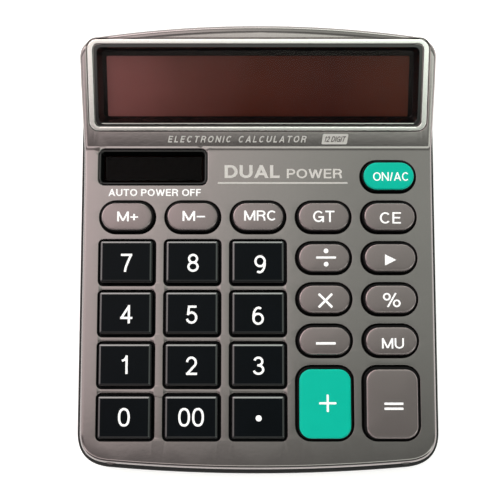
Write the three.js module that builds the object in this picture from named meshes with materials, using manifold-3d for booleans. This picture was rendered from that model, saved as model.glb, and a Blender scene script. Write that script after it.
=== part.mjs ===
// Desk calculator with a raised display hood, a solar cell and one AA battery.
// Millimetres, +X right, +Y back, +Z up. The origin is the centre of the footprint, on the table.
//
// The top half is laid out in a keypad frame: x right, y back along the sloping keypad, z square to it.
// The display is laid out in a hood frame that turns up from the keypad at the crease.

import * as THREE from 'three';
import { LoftGeometry } from 'three/addons/geometries/LoftGeometry.js';
import { mergeVertices } from 'three/addons/utils/BufferGeometryUtils.js';
import Module from 'manifold-3d';

const wasm = await Module();
wasm.setup();

const clearance = 0.3; // between pieces that touch

// Keys: pitch of the columns, of the number rows and of the oval rows
const columnPitch = 21.8;
const numberPitch = 17;
const ovalPitch = 13.75;
const numberWeb = { x: 2.9, y: 1.6 }; // deck left between number keys
const ovalWeb = { x: 3.1, y: 2.65 };
const tallWeb = { x: 2.8, y: 2.55 };
const rowStep = 15.25; // from the memory row down to the first number row
const numberCorner = 1.6;
const ovalCorner = 5.5;
const tallCorner = 5.0;
const keyClearance = 0.45;
const keyHeight = 3.4;
const keyBevel = 0.5;
const keyTaper = 0.3;
const flangeReach = 0.6; // flange past the hole, under the deck
const flangeThickness = 1.1;

// Case: what it leaves round the keys, and its walls
const sideMargin = 6.9; // tall key's hole to the lower rim
const frontMargin = 10.7;
const hoodLength = 40.5; // crease back to the lower rim
const creaseGap = 9.6; // crease down to the top key's middle
const firstOvalY = 24.8; // top key's middle, from the keypad frame's origin
const frontHeight = 13.8; // keypad surface above the table at the front rim
const keypadTilt = 4.5; // degrees
const wall = 2.0;
const partingDepth = 6.5; // keypad surface down to the parting line
const rimLedge = 1.4; // lower case stands out this far all round
const wallDraft = 1.5; // degrees
const edgeFillet = 1.4;
const backFillet = 3.0;
const footHeight = 1.2;
const floorThickness = 1.8;
const bottomChamfer = 1.2;
const lipHeight = 1.5;
const lipThickness = 0.7;

// Plan outline
const frontBow = 2.1; // how far the front edge bulges
const backBow = 3.0;
const frontCorner = 11.5; // length of a front corner along the side
const backCorner = 9.0;
const bowShare = 0.82; // share of the half width that the bow runs to, before the corner

// Hood
const creaseBlend = 2.2; // half length of the soft bend at the crease
const hoodTilt = 22; // degrees from the keypad

// Keypad mat, board and their screws
const domeHeight = 3.2;
const domeRadius = 3.1;
const domeTopRadius = 1.9;
const matThickness = 1.1;
const boardThickness = 1.2;
const boardBackGap = 2.4; // crease down to the board's back edge
const matBackGap = 6;
const boardScrew = { head: 1.5, headHeight: 0.9, shank: 0.6, boss: 1.5 };

// Case screws, driven from below, square to the parting line
const caseScrew = { head: 2.3, headHeight: 1.6, shank: 1.1, boss: 2.9, post: 3.4, web: 1.8 };
const caseScrewInset = { front: 6, rear: 5, rearBack: 14.9, middleX: 12 };
const rearBossTop = 4.5; // rear bosses stop under the display and join the side wall

// Display, from the crease up the hood
const ringMargin = { side: 3.6, front: 6.2 }; // lower rim and crease to the ring
const ringLength = 30.3;
const ring = { corner: 3.2, side: 1.7, ends: 1.3, proud: 0.5, bevel: 0.25 };
const grooveDepth = 1.2;
const ledge = 0.7;
const frameDepth = 5.4;
const recessDepth = 3.6;
const frameWall = 0.9;
const windowThickness = 1.2;
const lcdMargin = { side: 10.4, front: 4.8, back: 7 }; // ring's outer edge to the panel
const lcdThickness = 2.2;
const backplateThickness = 0.8;
const ribbonHalfWidth = 16;
const ribbonThickness = 0.5;

// Solar cell window
const solarGap = { crease: 6.3, x: 35.3 }; // its middle, from the crease and from the centre line
const solar = { width: 36.7, height: 12.4, corner: 2.2, rim: 1.7, sink: 2.6, flange: 1 };
const solarLens = 0.7;
const solarCellThickness = 1.2;

// Battery compartment, in the lower case under the hood
const battery = { radius: 7.1, length: 49.3, nub: 1.2, nubRadius: 2.6 };
const batteryBackGap = 22; // battery's axis to the lower rim
const compartmentPlay = 0.9; // round the battery
const compartmentWall = { thickness: 1.2, height: 16 };
const doorInset = 0.4; // opening edge inside the compartment's end walls
const doorTab = { x: 18, width: 8, reach: 2.2, thickness: 1.1 };
const contact = { thickness: 0.5, halfWidth: 4, height: 10 };
const spring = { radius: 3.4, tipRadius: 1.6, length: 5.6 };

// Feet
const foot = { radius: 4.2, sink: 0.7, insetX: 14, insetFront: 18, insetBack: 24 };

const radians = THREE.MathUtils.degToRad;
const slope = Math.tan(radians(hoodTilt));
const cosTilt = Math.cos(radians(keypadTilt));
const sinTilt = Math.sin(radians(keypadTilt));
const partingZ = -partingDepth;
const flangeTop = -wall - clearance;
const flangeBottom = flangeTop - flangeThickness;
const domeTop = flangeBottom - clearance;
const matTop = domeTop - domeHeight;
const matBottom = matTop - matThickness;
const boardTop = matBottom - clearance;
const boardBottom = boardTop - boardThickness;
const deepest = -40; // safely below everything in the keypad frame

// Worked out from the sizes above, in the keypad frame
const numberHole = {
  width: columnPitch - numberWeb.x,
  height: numberPitch - numberWeb.y,
  corner: numberCorner,
};
const ovalHole = { width: columnPitch - ovalWeb.x, height: ovalPitch - ovalWeb.y, corner: ovalCorner };
const firstNumberY = firstOvalY - ovalPitch - rowStep;
const numberBottom = firstNumberY - 3 * numberPitch - numberHole.height / 2;
const tallTop = firstOvalY - 4 * ovalPitch - ovalHole.height / 2 - tallWeb.y;
const tallHole = { width: columnPitch - tallWeb.x, height: tallTop - numberBottom, corner: tallCorner };
const tallKeyY = (tallTop + numberBottom) / 2;
const halfWidth = 2 * columnPitch + tallHole.width / 2 + sideMargin;
const creaseY = firstOvalY + creaseGap;
const frontLength = frontMargin - numberBottom;
const backLength = creaseY + hoodLength;
const boardHalfWidth = halfWidth - sideMargin + 0.4;
const boardFront = -frontLength + 7.1;
const boardBack = creaseY - boardBackGap;
const matBack = creaseY - matBackGap;
const ringHalfWidth = halfWidth - ringMargin.side;
const ringBack = ringMargin.front + ringLength;
const solarAt = { x: -solarGap.x, y: creaseY - solarGap.crease };
const boardScrews = boardScrewPlaces();
const caseScrews = caseScrewPlaces();
const batteryRoom = 2 * (contact.thickness + 2 * clearance) + spring.length;
const compartment = {
  halfLength: (battery.length + battery.nub + batteryRoom + clearance) / 2,
  halfWidth: battery.radius + compartmentPlay,
};
const batteryStart = -compartment.halfLength + contact.thickness + spring.length + 2 * clearance;

const keypad = new THREE.Group();
keypad.position.y = -((backLength - frontLength) / 2) * cosTilt - partingDepth * sinTilt;
keypad.position.z = frontHeight + frontLength * sinTilt;
keypad.rotation.x = radians(keypadTilt);
keypad.updateMatrix();
const hood = new THREE.Group();
hood.position.y = creaseY;
hood.rotation.x = radians(hoodTilt);
hood.updateMatrix();
keypad.add(hood);
const halfLength = (frontLength + backLength) / 2 * cosTilt; // of the whole footprint
const batteryY = halfLength - batteryBackGap;
const calculator = new THREE.Group();
calculator.name = 'desk_calculator';
calculator.add(keypad);

const material = (color, roughness, metalness = 0) =>
  new THREE.MeshStandardMaterial({ color, roughness, metalness });
const finish = {
  shell: material(0x8f8983, 0.38, 0.35),
  base: material(0x141414, 0.5),
  chrome: material(0xd8d6d2, 0.18, 1),
  gloss: material(0x050505, 0.12),
  smoked: material(0x2a1412, 0.06),
  glass: material(0x6d7468, 0.2),
  metalPlate: material(0xb9bab8, 0.35, 1),
  numberKey: material(0x14171b, 0.3),
  ovalKey: material(0x78706c, 0.4),
  greenKey: material(0x00b39a, 0.35),
  solar: material(0x1a0705, 0.15),
  board: material(0x1d5b33, 0.6),
  epoxy: material(0x101010, 0.4),
  silicone: material(0x9a9a96, 0.8),
  rubber: material(0x1b1b1b, 0.9),
  steel: material(0x8d8f92, 0.35, 1),
  cell: material(0x2d5f9a, 0.4),
  film: material(0xb58a4a, 0.5),
};

// Screws between the board and the deck: in front of the solar window, and in front of the last row.
function boardScrewPlaces() {
  const behind = solarAt.y - solar.height / 2 - solar.flange - boardScrew.boss - 1.2;
  const between = 1.5 * columnPitch;
  const front = numberBottom - 2.7;
  return [[-between, behind], [between, behind], [-columnPitch, front], [columnPitch, front]];
}

function caseScrewPlaces() {
  const { front, rear, rearBack, middleX } = caseScrewInset;
  const frontX = halfWidth - 2 * front;
  const middleY = creaseY - 10.4;
  return [
    [-frontX, -frontLength + front],
    [frontX, -frontLength + front],
    [-middleX, middleY],
    [middleX, middleY],
    [-halfWidth + rear, backLength - rearBack],
    [halfWidth - rear, backLength - rearBack],
  ];
}

// Adds a named mesh to a group.
function place(group, name, geometry, finishName) {
  const mesh = new THREE.Mesh(geometry, finish[finishName]);
  mesh.name = name;
  group.add(mesh);
  return mesh;
}

// A closed geometry as a solid that can be joined and cut, moved by an optional matrix.
function solidOf(geometry, matrix) {
  const bare = new THREE.BufferGeometry().copy(geometry);
  bare.deleteAttribute('normal');
  bare.deleteAttribute('uv');
  if (matrix) bare.applyMatrix4(matrix);
  const merged = mergeVertices(bare, 1e-4);
  const index = merged.index.array;
  const triangles = [];
  for (let i = 0; i < index.length; i += 3) {
    const [a, b, c] = [index[i], index[i + 1], index[i + 2]];
    if (a !== b && b !== c && c !== a) triangles.push(a, b, c);
  }
  return new wasm.Manifold(new wasm.Mesh({
    numProp: 3,
    vertProperties: new Float32Array(merged.attributes.position.array),
    triVerts: new Uint32Array(triangles),
  }));
}

// A solid back as a geometry.
function geometryOf(solid) {
  const mesh = solid.getMesh();
  const geometry = new THREE.BufferGeometry();
  geometry.setAttribute('position', new THREE.BufferAttribute(new Float32Array(mesh.vertProperties), 3));
  geometry.setIndex(new THREE.BufferAttribute(new Uint32Array(mesh.triVerts), 1));
  geometry.computeVertexNormals();
  return geometry;
}

// Corner points of a rounded rectangle, counterclockwise.
function roundedPoints(halfWidth, halfHeight, corner, x = 0, y = 0, steps = 4) {
  const r = Math.min(corner, halfWidth - 0.05, halfHeight - 0.05);
  const points = [];
  for (let quarter = 0; quarter < 4; quarter++) {
    const right = quarter === 0 || quarter === 3 ? 1 : -1;
    const back = quarter < 2 ? 1 : -1;
    for (let i = 0; i <= steps; i++) {
      const angle = (quarter + i / steps) * Math.PI / 2;
      points.push(new THREE.Vector2(
        x + right * (halfWidth - r) + r * Math.cos(angle),
        y + back * (halfHeight - r) + r * Math.sin(angle),
      ));
    }
  }
  return points;
}

// Straight prism of an outline between two heights.
function prism(points, low, high, holes = []) {
  const shape = new THREE.Shape(points);
  shape.holes = holes.map((hole) => new THREE.Path(hole));
  const geometry = new THREE.ExtrudeGeometry(shape, { depth: high - low, bevelEnabled: false });
  return geometry.translate(0, 0, low);
}

// Solid skinned over outlines of one point count, each at its own height, from low to high.
function stack(layers) {
  const sections = layers.map(({ points, z }) => points.map((p) => new THREE.Vector3(p.x, p.y, z)));
  return new LoftGeometry(sections, { capStart: true, capEnd: true });
}

function box(x0, x1, y0, y1, z0, z1) {
  const geometry = new THREE.BoxGeometry(x1 - x0, y1 - y0, z1 - z0);
  return geometry.translate((x0 + x1) / 2, (y0 + y1) / 2, (z0 + z1) / 2);
}

// Upright cylinder or cone.
function post(x, y, radius, low, high, topRadius = radius, sides = 16) {
  const geometry = new THREE.CylinderGeometry(topRadius, radius, high - low, sides);
  return geometry.rotateX(Math.PI / 2).translate(x, y, (low + high) / 2);
}

// --- Plan outline -------------------------------------------------------------------------------

// Stations along the right-hand half outline of the lower rim, front to back: point and inward normal.
function halfOutline() {
  const half = halfWidth;
  const bowX = half * bowShare;
  const front = new THREE.QuadraticBezierCurve(
    new THREE.Vector2(0, -frontLength),
    new THREE.Vector2(bowX / 2, -frontLength),
    new THREE.Vector2(bowX, -frontLength + frontBow),
  );
  const back = new THREE.QuadraticBezierCurve(
    new THREE.Vector2(bowX, backLength - backBow),
    new THREE.Vector2(bowX / 2, backLength),
    new THREE.Vector2(0, backLength),
  );
  const corner = (from, to, rise) => new THREE.QuadraticBezierCurve(from, new THREE.Vector2(half, rise), to);
  const frontRise = -frontLength + frontBow + (half - bowX) * 2 * frontBow / bowX;
  const backRise = backLength - backBow - (half - bowX) * 2 * backBow / bowX;
  const frontEnd = new THREE.Vector2(half, -frontLength + frontBow + frontCorner);
  const backEnd = new THREE.Vector2(half, backLength - backBow - backCorner);
  const stations = [];
  const add = (curve, from, to, count) => {
    for (let i = 0; i <= count; i++) {
      const t = from + (to - from) * i / count;
      const p = curve.getPoint(t);
      const tangent = curve.getTangent(t);
      stations.push({ x: p.x, y: p.y, nx: -tangent.y, ny: tangent.x });
    }
  };
  const tip = 0.02; // the outline starts just off the centre line, so its end faces have a width
  add(front, tip, 0.97, 6);
  add(corner(front.v2, frontEnd, frontRise), 0.1, 1, 6);
  for (const share of [-1, -0.5, 0, 0.5, 1]) {
    stations.push({ x: half, y: creaseY + share * creaseBlend, nx: -1, ny: 0 });
  }
  add(corner(backEnd, back.v0, backRise), 0, 0.9, 6);
  add(back, 0.03, 1 - tip, 6);
  return stations;
}

const stations = halfOutline();

// Full ring of the outline, moved in by an inset, counterclockwise.
function outlineRing(inset) {
  const right = stations.map((s) => new THREE.Vector2(s.x + s.nx * inset, s.y + s.ny * inset));
  const left = right.map((p) => new THREE.Vector2(-p.x, p.y)).reverse();
  return [...right, ...left];
}

// Height of the top surface over the keypad plane: flat, a soft crease, then the hood's slope.
function topHeight(y) {
  const past = y - creaseY;
  if (past <= -creaseBlend) return 0;
  if (past >= creaseBlend) return past * slope;
  return slope * (past + creaseBlend) ** 2 / (4 * creaseBlend);
}

// Body under the top surface, skinned front to back: straight drafted walls and a rounded top edge.
function domedBody({ inset, drop, low, sideFillet, rearFillet, steps }) {
  const lean = Math.tan(radians(wallDraft));
  const sections = stations.map((s) => {
    const rear = Math.max(0, -s.ny);
    const fillet = THREE.MathUtils.lerp(sideFillet, rearFillet, rear);
    const at = (amount) => ({ x: Math.max(s.x + s.nx * amount, 0.05), y: s.y + s.ny * amount });
    const wallTop = topHeight(at(inset).y) - drop - fillet;
    const wallInset = inset + lean * (wallTop - low);
    const right = [{ ...at(inset), z: low }];
    for (let i = 0; i <= steps; i++) {
      const angle = (i / steps) * Math.PI / 2;
      const p = at(wallInset + fillet * (1 - Math.cos(angle)));
      right.push({ ...p, z: topHeight(p.y) - drop - fillet * (1 - Math.sin(angle)) });
    }
    const points = right.map((p) => new THREE.Vector3(p.x, p.y, p.z));
    const left = points.map((p) => new THREE.Vector3(-p.x, p.y, p.z)).reverse();
    return [...points, ...left].reverse();
  });
  return new LoftGeometry(sections, { capStart: true, capEnd: true });
}

// --- Keys ---------------------------------------------------------------------------------------

function keyLayout() {
  const x = (column) => (column - 2) * columnPitch;
  const numbers = [['7', '8', '9'], ['4', '5', '6'], ['1', '2', '3'], ['0', '00', 'point']];
  const ovals = [['m_plus', 'm_minus', 'mrc', 'gt', 'ce'], [], [], []];
  const right = [['divide', 'shift'], ['multiply', 'percent'], ['minus', 'mu']];
  const keys = [{ name: 'on_ac', x: x(4), y: firstOvalY, hole: ovalHole, finish: 'greenKey' }];
  numbers.forEach((names, row) => names.forEach((name, column) => {
    keys.push({ name, x: x(column), y: firstNumberY - row * numberPitch, hole: numberHole, finish: 'numberKey' });
  }));
  ovals[0].forEach((name, column) => {
    keys.push({ name, x: x(column), y: firstOvalY - ovalPitch, hole: ovalHole, finish: 'ovalKey' });
  });
  right.forEach((names, row) => names.forEach((name, column) => {
    keys.push({ name, x: x(3 + column), y: firstOvalY - (row + 2) * ovalPitch, hole: ovalHole, finish: 'ovalKey' });
  }));
  keys.push({ name: 'plus', x: x(3), y: tallKeyY, hole: tallHole, finish: 'greenKey' });
  keys.push({ name: 'equals', x: x(4), y: tallKeyY, hole: tallHole, finish: 'ovalKey' });
  return keys;
}

const keys = keyLayout();

function keyPoints({ x, y, hole }, grow) {
  const steps = hole.corner > 2 ? 3 : 2;
  return roundedPoints(hole.width / 2 + grow, hole.height / 2 + grow, hole.corner + grow, x, y, steps);
}

// A key: flange that the deck holds down, tapered cap and a bevelled top.
function keyGeometry(key) {
  return stack([
    { points: keyPoints(key, flangeReach), z: flangeBottom },
    { points: keyPoints(key, flangeReach), z: flangeTop },
    { points: keyPoints(key, -keyClearance), z: flangeTop },
    { points: keyPoints(key, -keyClearance - keyTaper), z: keyHeight - keyBevel },
    { points: keyPoints(key, -keyClearance - keyTaper - keyBevel), z: keyHeight },
  ]);
}

function buildKeys() {
  for (const key of keys) place(keypad, `key_${key.name}`, keyGeometry(key), key.finish);
}

// --- Upper case ---------------------------------------------------------------------------------

// Rounded rectangle in the hood frame, grown from the ring's outer edge.
function hoodPoints(growX, growY, corner) {
  const middle = ringMargin.front + ringLength / 2;
  return roundedPoints(ringHalfWidth + growX, ringLength / 2 + growY, corner, 0, middle);
}

const ringInner = { x: -ring.side, y: -ring.ends };
const throughX = ringInner.x - ledge;
const throughY = ringInner.y - ledge;

function solarPoints(grow) {
  const { x, y } = solarAt;
  return roundedPoints(solar.width / 2 + grow, solar.height / 2 + grow, solar.corner + grow, x, y);
}

function bossHeights([x, y]) {
  return y > creaseY ? rearBossTop : topHeight(y) - wall / 2;
}

function upperCase() {
  const outer = domedBody({
    inset: rimLedge,
    drop: 0,
    low: partingZ + clearance / 2,
    sideFillet: edgeFillet,
    rearFillet: backFillet,
    steps: 4,
  });
  const hollow = domedBody({
    inset: rimLedge + wall,
    drop: wall,
    low: partingZ - lipHeight - wall,
    sideFillet: 0.3,
    rearFillet: backFillet - wall,
    steps: 1,
  });
  const lipRing = prism(outlineRing(wall + clearance), partingZ - lipHeight, partingZ + 1);
  const lipHole = prism(outlineRing(wall + clearance + lipThickness), deepest, 0);
  let lip = solidOf(lipRing).subtract(solidOf(lipHole));
  for (const at of caseScrews) {
    lip = lip.subtract(solidOf(post(...at, caseScrew.post + clearance, deepest, partingZ + 0.1)));
  }
  const bosses = [];
  for (const at of caseScrews) {
    bosses.push(solidOf(post(...at, caseScrew.boss, partingZ + clearance / 2, bossHeights(at))));
  }
  for (const at of boardScrews) {
    bosses.push(solidOf(post(...at, boardScrew.boss, boardTop + clearance, -wall / 2, boardScrew.boss, 12)));
  }
  let body = solidOf(outer).subtract(solidOf(hollow)).add(lip);
  for (const boss of bosses) body = body.add(boss);
  for (const at of caseScrews) {
    const top = flangeTop - clearance;
    body = body.subtract(solidOf(post(...at, caseScrew.shank + clearance, deepest, top)));
  }
  for (const at of boardScrews) {
    const hole = post(...at, boardScrew.shank + clearance, deepest, flangeTop - clearance, undefined, 12);
    body = body.subtract(solidOf(hole));
  }
  for (const key of keys) body = body.subtract(solidOf(prism(keyPoints(key, 0), -wall * 2, keyHeight)));
  body = body.subtract(solidOf(prism(solarPoints(0), -wall * 2, keyHeight)));
  const pocket = prism(hoodPoints(clearance, clearance, ring.corner), -grooveDepth, keyHeight);
  const throughLow = -frameDepth - clearance;
  const through = prism(hoodPoints(throughX, throughY, ring.corner - ledge), throughLow, keyHeight);
  body = body.subtract(solidOf(pocket, hood.matrix)).subtract(solidOf(through, hood.matrix));
  return geometryOf(body);
}

// --- Display ------------------------------------------------------------------------------------

function displayBezel() {
  const shape = new THREE.Shape(hoodPoints(0, 0, ring.corner));
  shape.holes = [new THREE.Path(hoodPoints(ringInner.x, ringInner.y, ring.corner - ring.ends))];
  const low = -grooveDepth + clearance;
  const geometry = new THREE.ExtrudeGeometry(shape, {
    depth: ring.proud - low - 2 * ring.bevel,
    bevelSize: ring.bevel,
    bevelThickness: ring.bevel,
    bevelOffset: -ring.bevel,
    bevelSegments: 1,
  });
  return geometry.translate(0, 0, low + ring.bevel);
}

// Black tray behind the ring: a flange on the ledge, walls that slope in, and a pocket for the window.
function displayFrame() {
  const flangeLow = -grooveDepth + clearance;
  const flange = prism(hoodPoints(ringInner.x - clearance, ringInner.y - clearance, ring.corner - 1.5), flangeLow, 0);
  const tubeX = throughX - clearance;
  const tubeY = throughY - clearance;
  const corner = ring.corner - ledge - clearance;
  const tube = prism(hoodPoints(tubeX, tubeY, corner), -frameDepth, flangeLow + 0.2);
  const recess = stack([
    { points: hoodPoints(tubeX - 1.7, tubeY - 1.7, corner - 1), z: -frameDepth },
    { points: hoodPoints(tubeX - 1.7, tubeY - 1.7, corner - 1), z: -recessDepth },
    { points: hoodPoints(tubeX - 0.3, tubeY - 0.3, corner - 0.4), z: 0.2 },
  ]);
  const pocket = prism(hoodPoints(tubeX - frameWall, tubeY - frameWall, corner - 0.5), -frameDepth - 1, -recessDepth);
  const body = solidOf(flange).add(solidOf(tube)).subtract(solidOf(recess)).subtract(solidOf(pocket));
  return geometryOf(body);
}

// Slab behind the display, grown from the liquid crystal panel's outline.
function hoodSlab(grow, high, thickness) {
  const reach = ringHalfWidth - lcdMargin.side + grow;
  const front = ringMargin.front + lcdMargin.front - grow;
  const back = ringBack - lcdMargin.back + grow;
  return box(-reach, reach, front, back, high - thickness, high);
}

// Flat cable from the lower edge of the liquid crystal panel down to the board.
function ribbon() {
  const start = new THREE.Vector3(0, ringMargin.front + lcdMargin.front - 1.5, -recessDepth - windowThickness - 1.5);
  start.applyMatrix4(hood.matrix);
  const seat = boardTop + clearance + ribbonThickness / 2;
  const path = new THREE.CatmullRomCurve3([
    new THREE.Vector3(0, matBack + 0.8, seat),
    new THREE.Vector3(0, boardBack + 1, seat),
    new THREE.Vector3(0, (boardBack + start.y) / 2 + 1.5, (seat + start.z) / 2 - 1),
    start,
  ]);
  const section = new THREE.Shape([
    new THREE.Vector2(-ribbonHalfWidth, -ribbonThickness / 2),
    new THREE.Vector2(ribbonHalfWidth, -ribbonThickness / 2),
    new THREE.Vector2(ribbonHalfWidth, ribbonThickness / 2),
    new THREE.Vector2(-ribbonHalfWidth, ribbonThickness / 2),
  ]);
  return new THREE.ExtrudeGeometry(section, { steps: 10, extrudePath: path, bevelEnabled: false });
}

function buildDisplay() {
  place(hood, 'display_bezel', displayBezel(), 'chrome');
  place(hood, 'display_frame', displayFrame(), 'gloss');
  const fit = frameWall + clearance;
  const pane = hoodPoints(throughX - clearance - fit, throughY - clearance - fit, ring.corner - 2);
  const paneTop = -recessDepth - clearance;
  place(hood, 'display_window', prism(pane, paneTop - windowThickness, paneTop), 'smoked');
  const lcdTop = paneTop - windowThickness - clearance;
  place(hood, 'lcd_panel', hoodSlab(0, lcdTop, lcdThickness), 'glass');
  const plateTop = lcdTop - lcdThickness - clearance;
  place(hood, 'lcd_backplate', hoodSlab(0.8, plateTop, backplateThickness), 'metalPlate');
  place(keypad, 'lcd_ribbon', ribbon(), 'film');
}

// --- Solar window -------------------------------------------------------------------------------

function buildSolar() {
  const low = -wall - clearance;
  const frameLow = low - 1.2;
  const collar = prism(solarPoints(-clearance), frameLow, 0.1);
  const flange = prism(solarPoints(solar.flange), frameLow, low);
  const mouth = stack([
    { points: solarPoints(-solar.rim), z: frameLow - 1 },
    { points: solarPoints(-solar.rim), z: -solar.sink },
    { points: solarPoints(-clearance - 0.5), z: 0.2 },
  ]);
  const frame = solidOf(collar).add(solidOf(flange)).subtract(solidOf(mouth));
  place(keypad, 'solar_frame', geometryOf(frame), 'gloss');
  const lensLow = frameLow;
  const lens = prism(solarPoints(-solar.rim - clearance), lensLow, lensLow + solarLens);
  place(keypad, 'solar_window', lens, 'smoked');
  const cellTop = frameLow - clearance;
  const cell = prism(solarPoints(0), cellTop - solarCellThickness, cellTop);
  place(keypad, 'solar_cell', cell, 'solar');
}

// --- Keypad mat and board -----------------------------------------------------------------------

function matOutline(front, back) {
  return [
    new THREE.Vector2(-boardHalfWidth, front),
    new THREE.Vector2(boardHalfWidth, front),
    new THREE.Vector2(boardHalfWidth, back),
    new THREE.Vector2(-boardHalfWidth, back),
  ];
}

// Cuts clear of the case screw posts and of the board screws' bosses.
function cutScrewHoles(body, low, high, boardHole) {
  for (const at of caseScrews) {
    body = body.subtract(solidOf(post(...at, caseScrew.post + clearance + 0.2, low - 1, high + 1)));
  }
  for (const at of boardScrews) {
    body = body.subtract(solidOf(post(...at, boardHole, low - 1, high + 1, boardHole, 12)));
  }
  return body;
}

function rubberKeypad() {
  let body = solidOf(prism(matOutline(boardFront + 2, matBack), matBottom, matTop));
  body = cutScrewHoles(body, matBottom, matTop, boardScrew.boss + clearance + 0.2);
  for (const key of keys) {
    const dome = post(key.x, key.y, domeRadius, matTop - 0.2, domeTop, domeTopRadius, 8);
    body = body.add(solidOf(dome));
  }
  return geometryOf(body);
}

function circuitBoard() {
  const blank = solidOf(prism(matOutline(boardFront, boardBack), boardBottom, boardTop));
  return geometryOf(cutScrewHoles(blank, boardBottom, boardTop, boardScrew.shank + clearance));
}

// Screw with its axis upright and its head at the bottom.
function screw({ head, headHeight, shank }, seat, tip) {
  const cone = shank * 0.6;
  const profile = [
    [0, seat - headHeight],
    [head * 0.8, seat - headHeight],
    [head, seat - headHeight * 0.6],
    [head, seat],
    [shank, seat],
    [shank, tip - cone],
    [0, tip],
  ];
  const points = profile.map(([r, z]) => new THREE.Vector2(r, z));
  return new THREE.LatheGeometry(points, 10).rotateX(Math.PI / 2);
}

function buildBoard() {
  place(keypad, 'rubber_keypad', rubberKeypad(), 'silicone');
  place(keypad, 'circuit_board', circuitBoard(), 'board');
  const under = boardBottom - clearance;
  place(keypad, 'chip_cover', post(6, -12, 5.5, under - 1.8, under, 7, 16), 'epoxy');
  place(keypad, 'capacitor', post(-24, 6, 2.5, under - 5, under, 2.5, 14), 'cell');
  boardScrews.forEach(([x, y], i) => {
    const geometry = screw(boardScrew, boardBottom - clearance, flangeTop - clearance * 2);
    place(keypad, `board_screw_${i + 1}`, geometry, 'steel').position.set(x, y, 0);
  });
}

// --- Lower case ---------------------------------------------------------------------------------

// The rim outline as it lies in the table's frame.
function floorRing(inset) {
  const shift = keypad.position.y + partingDepth * sinTilt;
  return outlineRing(inset).map((p) => new THREE.Vector2(p.x, p.y * cosTilt + shift));
}

const doorOpening = {
  halfLength: compartment.halfLength - doorInset,
  front: batteryY - compartment.halfWidth + 0.2,
  back: batteryY + compartment.halfWidth - 0.2,
};

function compartmentWalls() {
  const { thickness, height } = compartmentWall;
  const reach = compartment.halfLength;
  const [front, back] = [batteryY - compartment.halfWidth, batteryY + compartment.halfWidth];
  const low = footHeight + 0.5;
  const block = box(-reach - thickness, reach + thickness, front - thickness, back + thickness, low, height);
  const inside = box(-reach, reach, front, back, low - 1, height + 1);
  let walls = solidOf(block).subtract(solidOf(inside));
  for (const side of [-1, 1]) {
    const x = side * doorTab.x;
    const [x0, x1] = [x - doorTab.width / 2 - 0.6, x + doorTab.width / 2 + 0.6];
    const notch = box(x0, x1, front - thickness - 1, front + 1, 0, footHeight + floorThickness + 6);
    walls = walls.subtract(solidOf(notch));
  }
  return walls;
}

function lowerCase() {
  const high = 60;
  const floorTop = footHeight + floorThickness;
  const outer = solidOf(stack([
    { points: floorRing(bottomChamfer), z: footHeight },
    { points: floorRing(bottomChamfer * 0.25), z: footHeight + bottomChamfer },
    { points: floorRing(0), z: footHeight + 2 * bottomChamfer },
    { points: floorRing(0), z: high },
  ]));
  const hollow = prism(floorRing(wall), floorTop, high + 1);
  let body = outer.subtract(solidOf(hollow));
  for (const at of caseScrews) {
    const pillar = solidOf(post(...at, caseScrew.post, deepest, partingZ), keypad.matrix);
    body = body.add(pillar.intersect(outer));
  }
  body = body.add(compartmentWalls());
  for (const at of caseScrews) {
    const seat = partingZ - clearance / 2 - caseScrew.web;
    const counterbore = post(...at, caseScrew.head + clearance + 0.1, deepest, seat);
    const shankHole = post(...at, caseScrew.shank + clearance, deepest, 5);
    body = body.subtract(solidOf(counterbore, keypad.matrix)).subtract(solidOf(shankHole, keypad.matrix));
  }
  const top = box(-halfWidth * 2, halfWidth * 2, -frontLength * 2, backLength * 2, partingZ - clearance / 2, high * 2);
  body = body.subtract(solidOf(top, keypad.matrix));
  const { halfLength, front, back } = doorOpening;
  body = body.subtract(solidOf(box(-halfLength, halfLength, front, back, 0, floorTop + 0.1)));
  for (const [x, y] of footPlaces()) {
    body = body.subtract(solidOf(post(x, y, foot.radius + clearance, 0, footHeight + foot.sink)));
  }
  return geometryOf(body);
}

function footPlaces() {
  const x = halfWidth - foot.insetX;
  const [front, back] = [-halfLength + foot.insetFront, halfLength - foot.insetBack];
  return [[-x, front], [x, front], [-x, back], [x, back]];
}

function buildCase() {
  place(keypad, 'upper_case', upperCase(), 'shell');
  place(calculator, 'lower_case', lowerCase(), 'base');
  footPlaces().forEach(([x, y], i) => {
    const top = footHeight + foot.sink - clearance;
    place(calculator, `foot_${i + 1}`, post(x, y, foot.radius - 0.4, 0, top, foot.radius), 'rubber');
  });
  caseScrews.forEach(([x, y], i) => {
    const seat = partingZ - clearance / 2 - caseScrew.web - clearance;
    const geometry = screw(caseScrew, seat, flangeTop - clearance * 2);
    place(keypad, `case_screw_${i + 1}`, geometry, 'steel').position.set(x, y, 0);
  });
}

// --- Battery ------------------------------------------------------------------------------------

const batteryZ = footHeight + floorThickness + clearance + battery.radius;

// A turned piece whose axis lies along X, from a profile of [distance along X, radius].
function lyingTurned(profile, sides) {
  const points = profile.map(([along, radius]) => new THREE.Vector2(radius, along));
  return new THREE.LatheGeometry(points, sides).rotateZ(-Math.PI / 2).translate(0, batteryY, batteryZ);
}

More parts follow.
